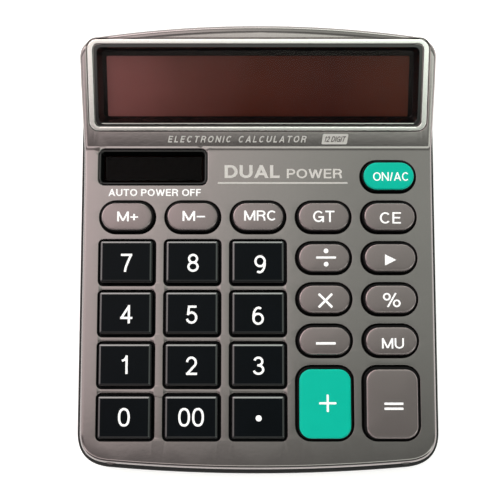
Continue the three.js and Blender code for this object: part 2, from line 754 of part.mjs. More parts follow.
function batteryDoor() {
  const { halfLength, front, back } = doorOpening;
  const floorTop = footHeight + floorThickness;
  const [y0, y1] = [front + clearance, back - clearance];
  let door = solidOf(box(-halfLength + clearance, halfLength - clearance, y0, y1, footHeight, floorTop));
  for (const side of [-1, 1]) {
    const x = side * doorTab.x;
    const [x0, x1] = [x - doorTab.width / 2, x + doorTab.width / 2];
    const tabLow = floorTop + clearance;
    const tab = box(x0, x1, front - doorTab.reach, y0 + 1, tabLow, tabLow + doorTab.thickness);
    const riser = box(x0, x1, y0, y0 + 1, footHeight + 0.5, tabLow + doorTab.thickness);
    door = door.add(solidOf(tab)).add(solidOf(riser));
  }
  return geometryOf(door);
}

function contactPlate(side) {
  const outerX = compartment.halfLength - clearance;
  const [x0, x1] = [outerX - contact.thickness, outerX].map((x) => side * x).sort((a, b) => a - b);
  const low = batteryZ - contact.height / 2;
  return box(x0, x1, batteryY - contact.halfWidth, batteryY + contact.halfWidth, low, low + contact.height);
}

function springContact() {
  const plateX = -(compartment.halfLength - clearance - contact.thickness);
  const tipX = batteryStart - clearance;
  const cone = lyingTurned([
    [plateX - 0.2, 0],
    [plateX - 0.2, spring.radius],
    [tipX, spring.tipRadius],
    [tipX, 0],
  ], 14);
  return geometryOf(solidOf(contactPlate(-1)).add(solidOf(cone)));
}

function buildBattery() {
  const end = batteryStart + battery.length;
  const cell = lyingTurned([
    [batteryStart, 0],
    [batteryStart, battery.radius - 0.5],
    [batteryStart + 0.5, battery.radius],
    [end - 0.5, battery.radius],
    [end, battery.radius - 0.5],
    [end, battery.nubRadius],
    [end + battery.nub, battery.nubRadius],
    [end + battery.nub, 0],
  ], 18);
  place(calculator, 'battery', cell, 'cell');
  place(calculator, 'battery_door', batteryDoor(), 'base');
  place(calculator, 'contact_plate', contactPlate(1), 'steel');
  place(calculator, 'contact_spring', springContact(), 'steel');
}

buildCase();
buildDisplay();
buildSolar();
buildKeys();
buildBoard();
buildBattery();

export default calculator;
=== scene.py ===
import math
import bmesh
import bpy
from mathutils import Matrix, Vector
from mathutils.geometry import delaunay_2d_cdt


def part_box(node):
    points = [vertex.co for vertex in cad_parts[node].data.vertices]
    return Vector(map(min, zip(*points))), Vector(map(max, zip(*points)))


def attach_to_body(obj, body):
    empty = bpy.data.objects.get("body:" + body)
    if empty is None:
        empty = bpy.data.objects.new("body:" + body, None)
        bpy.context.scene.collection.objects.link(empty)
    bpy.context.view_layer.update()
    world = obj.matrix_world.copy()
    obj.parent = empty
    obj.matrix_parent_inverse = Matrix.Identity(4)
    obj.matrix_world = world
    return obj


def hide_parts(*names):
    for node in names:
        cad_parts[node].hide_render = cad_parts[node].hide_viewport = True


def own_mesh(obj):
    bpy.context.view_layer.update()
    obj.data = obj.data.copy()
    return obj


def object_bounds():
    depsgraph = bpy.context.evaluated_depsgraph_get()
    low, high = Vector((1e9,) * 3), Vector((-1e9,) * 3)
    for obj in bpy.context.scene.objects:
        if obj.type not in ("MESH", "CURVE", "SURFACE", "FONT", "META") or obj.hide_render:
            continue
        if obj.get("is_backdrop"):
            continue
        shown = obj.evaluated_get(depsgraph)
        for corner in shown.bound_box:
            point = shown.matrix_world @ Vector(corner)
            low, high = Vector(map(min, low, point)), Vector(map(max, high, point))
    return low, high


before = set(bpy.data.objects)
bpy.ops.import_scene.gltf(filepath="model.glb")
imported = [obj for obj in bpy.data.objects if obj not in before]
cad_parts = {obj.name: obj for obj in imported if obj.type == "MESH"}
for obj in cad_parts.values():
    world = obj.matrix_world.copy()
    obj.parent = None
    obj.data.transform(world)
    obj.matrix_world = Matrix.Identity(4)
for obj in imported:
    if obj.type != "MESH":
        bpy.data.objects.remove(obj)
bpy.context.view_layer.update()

millimetre = 0.001
keypadTilt = math.radians(4.5)
hoodTilt = math.radians(22)
creaseY = 34.4  # where the hood bends up, along the keypad
toKeypad = Matrix.Translation((0, -1.158, 19.575)) @ Matrix.Rotation(keypadTilt, 4, "X")
toHood = toKeypad @ Matrix.Translation((0, creaseY, 0)) @ Matrix.Rotation(hoodTilt, 4, "X")
toWorld = Matrix.Identity(4)


def boxIn(node, matrix):
    # lowest and highest corner of a CAD node, in millimetres, along the axes of a tilted frame
    back = matrix.inverted()
    points = [back @ (v.co / millimetre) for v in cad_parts[node].data.vertices]
    low = Vector(min(p[i] for p in points) for i in range(3))
    high = Vector(max(p[i] for p in points) for i in range(3))
    return low, high


def middleOf(node):
    # middle of a CAD node across and along the keypad, and its lowest and highest corner there
    low, high = boxIn(node, toKeypad)
    return (low.x + high.x) / 2, (low.y + high.y) / 2, low, high


def worldBox(node):
    return [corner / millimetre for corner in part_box(node)]


def quarter(steps):
    # a quarter turn for an eased edge, as pairs of 1 - cosine and 1 - sine
    turns = [i / steps * math.pi / 2 for i in range(steps + 1)]
    return [(1 - math.cos(turn), 1 - math.sin(turn)) for turn in turns]


# ---- shapes: lists of points and faces in millimetres ----

def newShape():
    return {"points": [], "faces": [], "marks": []}


def addFaces(shape, points, faces, mark=0):
    start = len(shape["points"])
    shape["points"].extend(Vector(p) for p in points)
    shape["faces"].extend([start + i for i in face] for face in faces)
    shape["marks"].extend([mark] * len(faces))


def addLoft(shape, rings, caps=(True, True), wrap=False, mark=0):
    # skins closed rings of one length; wrap joins the last ring back to the first
    count = len(rings[0])
    points = [p for ring in rings for p in ring]
    faces = []
    pairs = list(zip(range(len(rings) - 1), range(1, len(rings))))
    if wrap:
        pairs.append((len(rings) - 1, 0))
    for low, high in pairs:
        for i in range(count):
            j = (i + 1) % count
            faces.append([low * count + i, low * count + j, high * count + j, high * count + i])
    if caps[0] and not wrap:
        faces.append(list(range(count))[::-1])
    if caps[1] and not wrap:
        faces.append([(len(rings) - 1) * count + i for i in range(count)])
    addFaces(shape, points, faces, mark)


def insideLoop(p, loop):
    inside = False
    for a, b in zip(loop, [*loop[1:], loop[0]]):
        if (a[1] > p[1]) != (b[1] > p[1]) and p[0] < a[0] + (b[0] - a[0]) * (p[1] - a[1]) / (b[1] - a[1]):
            inside = not inside
    return inside


def addFill(shape, outer, holes, lift, extra=(), mark=0):
    # triangles over a flat outline with holes, each point then lifted to its height
    flat, edges = [], []
    for loop in [outer, *holes]:
        start = len(flat)
        flat.extend(Vector((p[0], p[1])) for p in loop)
        edges.extend((start + i, start + (i + 1) % len(loop)) for i in range(len(loop)))
    flat.extend(Vector(p) for p in extra)
    points, _, faces, *_ = delaunay_2d_cdt(flat, edges, [], 0, 1e-5)
    kept = []
    for face in faces:
        middle = sum((points[i] for i in face), Vector((0, 0))) / len(face)
        if insideLoop(middle, outer) and not any(insideLoop(middle, hole) for hole in holes):
            kept.append(face)
    addFaces(shape, [lift(p.x, p.y) for p in points], kept, mark)


def roundedRing(x, y, halfWide, halfLong, corner, steps=6):
    corner = max(0.02, min(corner, halfWide - 0.02, halfLong - 0.02))
    ring = []
    for quarter, (sideX, sideY) in enumerate(((1, 1), (-1, 1), (-1, -1), (1, -1))):
        for i in range(steps + 1):
            angle = (quarter + i / steps) * math.pi / 2
            ring.append((x + sideX * (halfWide - corner) + corner * math.cos(angle),
                         y + sideY * (halfLong - corner) + corner * math.sin(angle)))
    return ring


def circle(x, y, radius, sides=32):
    turn = 2 * math.pi / sides
    return [(x + radius * math.cos(i * turn), y + radius * math.sin(i * turn)) for i in range(sides)]


def atHeight(ring, z):
    return [Vector((p[0], p[1], z)) for p in ring]


def addBlock(shape, low, high, edge=0.2, mark=0):
    # box with its upright and upper and lower edges eased
    x, y = (low[0] + high[0]) / 2, (low[1] + high[1]) / 2
    wide, long = (high[0] - low[0]) / 2, (high[1] - low[1]) / 2
    addLoft(shape, [
        atHeight(roundedRing(x, y, wide - edge, long - edge, edge, 2), low[2]),
        atHeight(roundedRing(x, y, wide, long, edge, 2), low[2] + edge),
        atHeight(roundedRing(x, y, wide, long, edge, 2), high[2] - edge),
        atHeight(roundedRing(x, y, wide - edge, long - edge, edge, 2), high[2]),
    ], mark=mark)


def addTurned(shape, x, y, profile, sides=32, mark=0):
    addLoft(shape, [atHeight(circle(x, y, r, sides), z) for r, z in profile], mark=mark)


def finishMesh(piece, sharpAngle):
    # sharp edges by angle, and normals weighted by face size so that flat faces stay flat
    piece.data.shade_smooth()
    piece.data.set_sharp_from_angle(angle=math.radians(sharpAngle))
    weighted = piece.modifiers.new("weightedNormals", "WEIGHTED_NORMAL")
    weighted.keep_sharp = True
    weighted.weight = 100
    graph = bpy.context.evaluated_depsgraph_get()
    mesh = bpy.data.meshes.new_from_object(piece.evaluated_get(graph))
    piece.modifiers.clear()
    old = piece.data
    piece.data = mesh
    mesh.name = piece.name
    bpy.data.meshes.remove(old)


def attach(piece, body, replaced):
    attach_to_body(piece, body)
    if replaced:
        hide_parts(*replaced)
    return piece


def makePiece(name, shape, materials, body, replaced=(), matrix=toWorld, sharpAngle=35):
    mesh = bpy.data.meshes.new(name)
    points = [(matrix @ p) * millimetre for p in shape["points"]]
    mesh.from_pydata(points, [], shape["faces"])
    for material in materials:
        mesh.materials.append(material)
    mesh.polygons.foreach_set("material_index", shape["marks"])
    work = bmesh.new()
    work.from_mesh(mesh)
    bmesh.ops.remove_doubles(work, verts=work.verts, dist=2e-6)
    bmesh.ops.delete(work, geom=[v for v in work.verts if not v.link_faces], context="VERTS")
    bmesh.ops.recalc_face_normals(work, faces=work.faces)
    work.to_mesh(mesh)
    work.free()
    piece = bpy.data.objects.new(name, mesh)
    bpy.context.scene.collection.objects.link(piece)
    finishMesh(piece, sharpAngle)
    return attach(piece, body, replaced)


# ---- materials ----

def linear(hexText):
    # sRGB hex to the linear colour that a shader takes
    channels = [int(hexText[i:i + 2], 16) / 255 for i in (1, 3, 5)]
    return [c / 12.92 if c <= 0.04045 else ((c + 0.055) / 1.055) ** 2.4 for c in channels] + [1.0]


def perSize(sizeMm):
    # texture scale that makes one feature of the pattern this many millimetres
    return 1000 / sizeMm


def addNode(tree, kind, settings=None, links=None):
    # geometry kinds are named in full, shader and maths kinds without their first word
    node = tree.nodes.new(kind if kind.startswith("Geometry") else "ShaderNode" + kind)
    for key, value in (settings or {}).items():
        if isinstance(key, str) and hasattr(node, key):
            setattr(node, key, value)
        else:
            node.inputs[key].default_value = value
    for key, socket in (links or {}).items():
        tree.links.new(socket, node.inputs[key])
    return node


def startMaterial(name, settings):
    material = bpy.data.materials.new(name)
    material.use_nodes = True
    shader = material.node_tree.nodes["Principled BSDF"]
    for key, value in settings.items():
        shader.inputs[key].default_value = value
    return material, material.node_tree, shader


def wire(tree, shader, colour, sheen=None, bump=None):
    for name, socket in (("Base Color", colour), ("Roughness", sheen), ("Normal", bump)):
        if socket is not None:
            tree.links.new(socket, shader.inputs[name])


def grainedMaterial(name, dark, light, settings, grain, mottle, roughness, height):
    # moulded, cast or painted surface: broad mottling of the colour, and a fine grain that also sets the roughness
    material, tree, shader = startMaterial(name, settings)
    place = addNode(tree, "TexCoord").outputs["Object"]
    broad = addNode(tree, "TexNoise", {"Scale": perSize(mottle), "Detail": 3.0}, {"Vector": place})
    fine = addNode(tree, "TexNoise", {"Scale": perSize(grain), "Detail": 2.0}, {"Vector": place})
    colour = addNode(tree, "Mix", {"data_type": "RGBA", 6: linear(dark), 7: linear(light)},
                     {0: broad.outputs["Fac"]})
    sheen = addNode(tree, "MapRange", {"To Min": roughness[0], "To Max": roughness[1]},
                    {"Value": fine.outputs["Fac"]})
    bump = addNode(tree, "Bump", {"Strength": 1.0, "Distance": height * millimetre},
                   {"Height": fine.outputs["Fac"]})
    wire(tree, shader, colour.outputs[2], sheen.outputs["Result"], bump.outputs["Normal"])
    return material


def flakedPaint(name, dark, light, metallic, roughness, flake):
    # sprayed metallic lacquer: flakes that each catch the light a little differently, under a thin gloss
    material, tree, shader = startMaterial(name, {"Metallic": metallic, "Coat Weight": 0.12,
                                                  "Coat Roughness": 0.18})
    place = addNode(tree, "TexCoord").outputs["Object"]
    flakes = addNode(tree, "TexVoronoi", {"Scale": perSize(flake)}, {"Vector": place})
    broad = addNode(tree, "TexNoise", {"Scale": perSize(28), "Detail": 2.0}, {"Vector": place})
    peel = addNode(tree, "TexNoise", {"Scale": perSize(1.4), "Detail": 1.0}, {"Vector": place})
    grey = addNode(tree, "SeparateColor", links={"Color": flakes.outputs["Color"]})
    share = addNode(tree, "Math", {"operation": "MULTIPLY_ADD", 1: 0.35},
                    {0: grey.outputs["Red"], 2: broad.outputs["Fac"]})
    share = addNode(tree, "MapRange", {"From Min": 0.3, "From Max": 1.2}, {"Value": share.outputs[0]})
    colour = addNode(tree, "Mix", {"data_type": "RGBA", 6: linear(dark), 7: linear(light)},
                     {0: share.outputs["Result"]})
    sheen = addNode(tree, "MapRange", {"To Min": roughness[0], "To Max": roughness[1]},
                    {"Value": grey.outputs["Green"]})
    bump = addNode(tree, "Bump", {"Strength": 1.0, "Distance": 0.004 * millimetre},
                   {"Height": peel.outputs["Fac"]})
    wire(tree, shader, colour.outputs[2], sheen.outputs["Result"], bump.outputs["Normal"])
    return material


def brushedMetal(name, dark, light, roughness, grain, along):
    # drawn or rolled metal: fine scratches that run one way
    material, tree, shader = startMaterial(name, {"Metallic": 1.0})
    place = addNode(tree, "TexCoord").outputs["Object"]
    stretch = [perSize(grain)] * 3
    stretch[along] = perSize(grain * 40)
    turned = addNode(tree, "Mapping", {"Scale": stretch}, {"Vector": place})
    scratches = addNode(tree, "TexNoise", {"Scale": 1.0, "Detail": 3.0}, {"Vector": turned.outputs["Vector"]})
    colour = addNode(tree, "Mix", {"data_type": "RGBA", 6: linear(dark), 7: linear(light)},
                     {0: scratches.outputs["Fac"]})
    sheen = addNode(tree, "MapRange", {"To Min": roughness[0], "To Max": roughness[1]},
                    {"Value": scratches.outputs["Fac"]})
    wire(tree, shader, colour.outputs[2], sheen.outputs["Result"])
    return material


# metallic lacquer over ABS, warm grey, its flakes 0.12 mm across
lacquer = flakedPaint("warmGreyLacquer", "#938c8b", "#9b9493", 0.95, (0.12, 0.15), 0.12)
# the same lacquer on the function keys, a little redder and smoother
keyLacquer = flakedPaint("keyGreyLacquer", "#8e8383", "#948989", 0.88, (0.18, 0.22), 0.12)
# spark-textured black ABS: dull, with a pinhead grain
blackAbs = grainedMaterial("texturedBlackAbs", "#0b0b0c", "#17171a", {"IOR": 1.54}, 0.35, 9,
                           (0.42, 0.6), 0.012)
# polished black ABS: deep and mirror-like with a faint haze
glossAbs = grainedMaterial("polishedBlackAbs", "#040404", "#0a0a0b", {"IOR": 1.54}, 1.2, 14, (0.08, 0.16), 0.001)
# black number keys: ABS with a semi-gloss top, blue-black
keyBlack = grainedMaterial("semiGlossBlackAbs", "#05090c", "#090e13",
                           {"IOR": 1.46, "Specular IOR Level": 0.09}, 0.6, 7, (0.16, 0.22), 0.002)
# polished bevel round the top of a number key: same black, buffed to a hard gloss. The IOR is set for the look of
# its back edge and is higher than that of ABS
bevelBlack = grainedMaterial("buffedBlackAbs", "#05090c", "#090e13", {"IOR": 2.0}, 0.8, 9, (0.12, 0.18), 0.001)
# skirt of every key, matt black so the slot round a key reads dark
keySkirt = grainedMaterial("mattBlackAbs", "#060607", "#0d0d0e", {"IOR": 1.5, "Specular IOR Level": 0.15},
                           0.4, 5, (0.4, 0.55), 0.004)
# teal ABS moulded through, semi-gloss
keyTeal = grainedMaterial("tealAbs", "#00bfa6", "#00c9af", {"IOR": 1.5, "Specular IOR Level": 0.14},
                          0.6, 8, (0.24, 0.36), 0.003)
# silver plating on the display surround, lightly brushed along its long sides
plated = brushedMetal("brushedPlating", "#dcd9d5", "#f3f1ee", (0.16, 0.26), 0.16, 0)
# zinc-plated steel of the screws
screwSteel = brushedMetal("zincPlatedSteel", "#77797c", "#a4a6a8", (0.26, 0.42), 0.2, 1)
# nickel-plated spring steel of the contacts and the battery's ends
nickel = brushedMetal("nickelSpringSteel", "#8f8d88", "#c2c0ba", (0.2, 0.34), 0.15, 2)
# silk-screened white ink: thin, slightly uneven cover, with a faint painted glow from its emission that makes it
# brighter than the light on it
glowingWhiteInk = grainedMaterial("glowingWhiteScreenInk", "#f4f6f6", "#ffffff",
                           {"IOR": 1.5, "Emission Strength": 0.25, "Emission Color": linear("#ffffff")},
                           0.25, 1.5, (0.45, 0.6), 0.002)
# silver ink of the words on the case
silverInk = grainedMaterial("silverScreenInk", "#d4d2ce", "#e2e0dc", {"IOR": 1.5}, 0.25, 1.5,
                            (0.35, 0.5), 0.002)
# dark ink of the words on the silver plate
darkInk = grainedMaterial("darkScreenInk", "#4a4644", "#5a5553", {"IOR": 1.5}, 0.25, 1.5, (0.4, 0.5), 0.002)
# carbon-black rubber feet, dull with a coarse grain
footRubber = grainedMaterial("blackRubber", "#0f0f10", "#1c1c1d", {"IOR": 1.52}, 0.3, 3, (0.75, 0.92), 0.02)
# milky grey silicone of the key mat
silicone = grainedMaterial("greySilicone", "#8d8d88", "#a8a8a3",
                           {"IOR": 1.41, "Subsurface Weight": 0.1, "Subsurface Radius": (0.001, 0.001, 0.001)},
                           0.5, 6, (0.6, 0.75), 0.006)
# epoxy blob over the chip
epoxy = grainedMaterial("blackEpoxy", "#0c0c0c", "#161616", {"IOR": 1.55}, 0.8, 3, (0.2, 0.4), 0.02)
# blue-black sleeve of the capacitor
capSleeve = grainedMaterial("capacitorSleeve", "#1b2738", "#26374c", {"IOR": 1.54}, 0.5, 4, (0.25, 0.35), 0.003)
# amber polyimide film of the ribbon
ribbonFilm = grainedMaterial("polyimideFilm", "#a57a38", "#c29350", {"IOR": 1.6}, 0.5, 3, (0.3, 0.42), 0.002)
# grey-green glass of the liquid crystal panel
lcdGlass = grainedMaterial("liquidCrystalGlass", "#5f665b", "#767e70", {"IOR": 1.52}, 0.8, 20, (0.1, 0.18), 0.001)


def smokedAcrylic(name, dark, light):
    # tinted cast acrylic: glossy, with a trace of haze. The IOR and the specular level are set low for the look of
    # the recess behind it; real acrylic is nearer 1.49
    material, tree, shader = startMaterial(
        name, {"IOR": 1.14, "Transmission Weight": 1.0, "Specular IOR Level": 0.08})
    place = addNode(tree, "TexCoord").outputs["Object"]
    haze = addNode(tree, "TexNoise", {"Scale": perSize(6), "Detail": 2.0}, {"Vector": place})
    tint = addNode(tree, "Mix", {"data_type": "RGBA", 6: linear(dark), 7: linear(light)},
                   {0: haze.outputs["Fac"]})
    sheen = addNode(tree, "MapRange", {"To Min": 0.02, "To Max": 0.07}, {"Value": haze.outputs["Fac"]})
    wire(tree, shader, tint.outputs[2], sheen.outputs["Result"])
    return material


def polariserFilmLitLeft(halfWide):
    # polariser over the liquid crystal: brown-red film with painted light across it, paler and pinker to the left
    # where light falls from the left and a little lighter again at the right edge
    material, tree, shader = startMaterial("polariserFilmLitLeft", {"IOR": 1.5, "Specular IOR Level": 0.2})
    place = addNode(tree, "TexCoord").outputs["Object"]
    axes = addNode(tree, "SeparateXYZ", links={"Vector": place})
    cloud = addNode(tree, "TexNoise", {"Scale": perSize(30), "Detail": 1.0}, {"Vector": place})
    # painted light: this share from left to right across the film sets how much painted light the film shows
    across = addNode(tree, "MapRange", {"From Min": -halfWide * millimetre, "From Max": halfWide * millimetre},
                     {"Value": axes.outputs["X"]})
    share = addNode(tree, "Math", {"operation": "MULTIPLY_ADD", 1: 0.08},
                    {0: cloud.outputs["Fac"], 2: across.outputs["Result"]})
    ramp = addNode(tree, "ValToRGB", links={"Fac": share.outputs[0]})
    # brown-red film colours; the pale pink stops on the left and the lighter last stop on the right are painted light
    filmAndLightStops = [(0.04, "#d09090"), (0.28, "#99635d"), (0.54, "#743a2a"), (0.8, "#652e22"), (1.0, "#79422f")]
    while len(ramp.color_ramp.elements) < len(filmAndLightStops):
        ramp.color_ramp.elements.new(0.5)
    for element, (position, hexText) in zip(ramp.color_ramp.elements, filmAndLightStops):
        element.position = position
        element.color = linear(hexText)
    sheen = addNode(tree, "MapRange", {"To Min": 0.35, "To Max": 0.5}, {"Value": cloud.outputs["Fac"]})
    wire(tree, shader, ramp.outputs["Color"], sheen.outputs["Result"])
    return material


def boardLaminate():
    # green solder mask over glass cloth, with copper tracks showing paler through it
    material, tree, shader = startMaterial("greenSolderMask", {"IOR": 1.55, "Roughness": 0.35})
    place = addNode(tree, "TexCoord").outputs["Object"]
    tracks = addNode(tree, "TexBrick", {"Scale": perSize(9), "Mortar Size": 0.05, "Brick Width": 0.9,
                                        "Row Height": 0.22, "Color1": linear("#174a2a"),
                                        "Color2": linear("#1b5531"), "Mortar": linear("#3a8a56")},
                     {"Vector": place})
    bump = addNode(tree, "Bump", {"Strength": 0.6, "Distance": 0.03 * millimetre}, {"Height": tracks.outputs["Fac"]})
    wire(tree, shader, tracks.outputs["Color"], None, bump.outputs["Normal"])
    return material


def solarSilicon():
    # amorphous silicon on glass: nearly black, with a brown-red cast and faint vertical streaks
    material, tree, shader = startMaterial(
        "amorphousSilicon", {"IOR": 1.5, "Roughness": 0.25, "Specular IOR Level": 0.03})
    place = addNode(tree, "TexCoord").outputs["Object"]
    stretched = addNode(tree, "Mapping", {"Scale": (perSize(5), perSize(60), perSize(60))}, {"Vector": place})
    streaks = addNode(tree, "TexNoise", {"Scale": 1.0, "Detail": 2.0}, {"Vector": stretched.outputs["Vector"]})
    colour = addNode(tree, "Mix", {"data_type": "RGBA", 6: linear("#1a0805"), 7: linear("#2e100a")},
                     {0: streaks.outputs["Fac"]})
    tree.links.new(colour.outputs[2], shader.inputs["Base Color"])
    return material


# smoked acrylic of the display window, and the darker one over the solar cell
smoked = smokedAcrylic("smokedAcrylic", "#d4c8c6", "#dcd0ce")
solarAcrylic = smokedAcrylic("darkAcrylic", "#5c4640", "#685049")
polariser = polariserFilmLitLeft(50.8)
laminate = boardLaminate()
silicon = solarSilicon()
# thin laser-scribed line between two strips of the solar cell
scribe = grainedMaterial("scribedLine", "#3a1c14", "#4a261c", {"IOR": 1.5}, 0.5, 4, (0.3, 0.4), 0.001)
# printed foil sleeve of the battery, blue with a satin coat
batteryFoil = grainedMaterial("batteryFoil", "#23527f", "#2f66a0", {"Metallic": 0.4}, 0.5, 10, (0.25, 0.35), 0.002)
print("materials made:", len(bpy.data.materials))

# ---- upper shell ----

shell = {
    "halfWidth": 60, "frontLength": 73.6, "backLength": 74.9, "bowShare": 0.82, "frontBow": 2.1, "backBow": 3.0,
    "frontCorner": 11.5, "backCorner": 9.0, "ledge": 1.4, "flare": 0.9, "flareStart": 25, "flareLength": 40,
    "low": -6.35, "draft": math.radians(1.5), "fillet": 1.4, "rearFillet": 3.0, "innerFillet": 0.6, "wall": 2.0,
    "creaseBlend": 0.9, "lipDepth": 8.0, "lipInset": (2.3, 3.4), "holeEdge": 0.32, "filletSteps": 7,
    "cornerSteps": 16, "bowSteps": 14,
}


def bezierStation(a, b, c, t):
    point = a.lerp(b, t).lerp(b.lerp(c, t), t)
    tangent = (b.lerp(c, t) - a.lerp(b, t)).normalized()
    return point, Vector((-tangent.y, tangent.x))


def caseStations():
    # right-hand half outline of the rim, front to back: point and inward direction
    half, bowX = shell["halfWidth"], shell["halfWidth"] * shell["bowShare"]
    front, back = -shell["frontLength"], shell["backLength"]
    frontRise = front + shell["frontBow"] + (half - bowX) * 2 * shell["frontBow"] / bowX
    backRise = back - shell["backBow"] - (half - bowX) * 2 * shell["backBow"] / bowX
    frontEnd = Vector((half, front + shell["frontBow"] + shell["frontCorner"]))
    backEnd = Vector((half, back - shell["backBow"] - shell["backCorner"]))
    frontBow = Vector((0, front)), Vector((bowX / 2, front)), Vector((bowX, front + shell["frontBow"]))
    backBow = Vector((bowX, back - shell["backBow"])), Vector((bowX / 2, back)), Vector((0, back))
    stations = [bezierStation(*frontBow, i / shell["bowSteps"]) for i in range(shell["bowSteps"])]
    steps = shell["cornerSteps"]
    stations += [bezierStation(frontBow[2], Vector((half, frontRise)), frontEnd, i / steps) for i in range(steps + 1)]
    rows = [-45, -30, -15, 0, 12, 24] + creaseRows() + [46, 55]
    stations += [(Vector((half, y)), Vector((-1, 0))) for y in rows]
    stations += [bezierStation(backEnd, Vector((half, backRise)), backBow[0], i / steps) for i in range(steps + 1)]
    count = shell["bowSteps"]
    stations += [bezierStation(*backBow, i / count) for i in range(1, count + 1)]
    return stations


def creaseRows():
    steps = 8
    return [creaseY + shell["creaseBlend"] * (2 * i / steps - 1) for i in range(steps + 1)]


def topHeight(y):
    past, blend, slope = y - creaseY, shell["creaseBlend"], math.tan(hoodTilt)
    if past <= -blend:
        return 0.0
    if past >= blend:
        return past * slope
    return slope * (past + blend) ** 2 / (4 * blend)


stations = caseStations()


def caseRing(insetOf, heightOf):
    right = []
    for point, inward in stations:
        p = point + inward * insetOf(point, inward)
        right.append(Vector((max(p.x, 0), p.y, heightOf(point, inward, p.y))))
    return right + [Vector((-p.x, p.y, p.z)) for p in reversed(right[1:-1])]


def filletOf(inward):
    return shell["fillet"] + (shell["rearFillet"] - shell["fillet"]) * max(0.0, -inward.y)


def wallTopOf(point, inward, inset, drop, fillet):
    return topHeight((point + inward * inset).y) - drop - fillet


def ledgeOf(point, inward):
    # the sides of the hood flare out over the ledge towards the back
    share = min(1.0, max(0.0, (point.y - shell["flareStart"]) / shell["flareLength"]))
    return shell["ledge"] - shell["flare"] * abs(inward.x) * share * share * (3 - 2 * share)


def outerInset(point, inward):
    ledge = ledgeOf(point, inward)
    top = wallTopOf(point, inward, ledge, 0, filletOf(inward))
    return ledge + math.tan(shell["draft"]) * (top - shell["low"])


def innerInset(point, inward):
    top = wallTopOf(point, inward, shell["lipInset"][1], shell["wall"], shell["innerFillet"])
    return shell["lipInset"][1] + math.tan(shell["draft"]) * (top + shell["lipDepth"])


def keyHoles():
    flange = 0.6  # a key's flange stands this far past its hole
    holes = {}
    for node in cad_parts:
        if node.startswith("key_"):
            x, y, low, high = middleOf(node)
            wide, long = (high.x - low.x) / 2 - flange, (high.y - low.y) / 2 - flange
            # corners of an oval, a double-height and a number key
            corner = 5.5 if long < 6.5 else 5.0 if long > 10 else 1.6
            holes[node] = {"x": x, "y": y, "wide": wide, "long": long, "corner": corner}
    return holes


def solarHole():
    x, y, low, high = middleOf("solar_frame")
    flange = 1.0
    return {"x": x, "y": y, "wide": (high.x - low.x) / 2 - flange, "long": (high.y - low.y) / 2 - flange,
            "corner": 2.2}


keys = keyHoles()
solar = solarHole()
ringLow, ringHigh = boxIn("display_bezel", toHood)
ring = {"wide": ringHigh.x, "middle": (ringLow.y + ringHigh.y) / 2, "long": (ringHigh.y - ringLow.y) / 2,
        "corner": 3.2, "side": 1.7, "ends": 1.3, "low": ringLow.z, "high": ringHigh.z}


def holeRing(hole, grow, steps=8):
    return roundedRing(hole["x"], hole["y"], hole["wide"] + grow, hole["long"] + grow, hole["corner"] + grow, steps)


def hoodRing(growX, growY, corner, steps=8):
    return roundedRing(0, ring["middle"], ring["wide"] + growX, ring["long"] + growY, corner, steps)


def hoodToKeypad(p, depth):
    # a point of the hood's plane, sunk square to it, in the keypad's frame
    return Vector((p[0], creaseY + p[1] * math.cos(hoodTilt) - depth * math.sin(hoodTilt),
                   p[1] * math.sin(hoodTilt) + depth * math.cos(hoodTilt)))


def onDeck(ring2d, depth):
    return [Vector((p[0], p[1], topHeight(p[1]) - depth)) for p in ring2d]


def bossTube(shape, x, y, radius, bore, low, high, boreTop):
    sides = 24
    addLoft(shape, [atHeight(circle(x, y, radius, sides), high), atHeight(circle(x, y, radius, sides), low),
                    atHeight(circle(x, y, bore, sides), low), atHeight(circle(x, y, bore, sides), boreTop)])


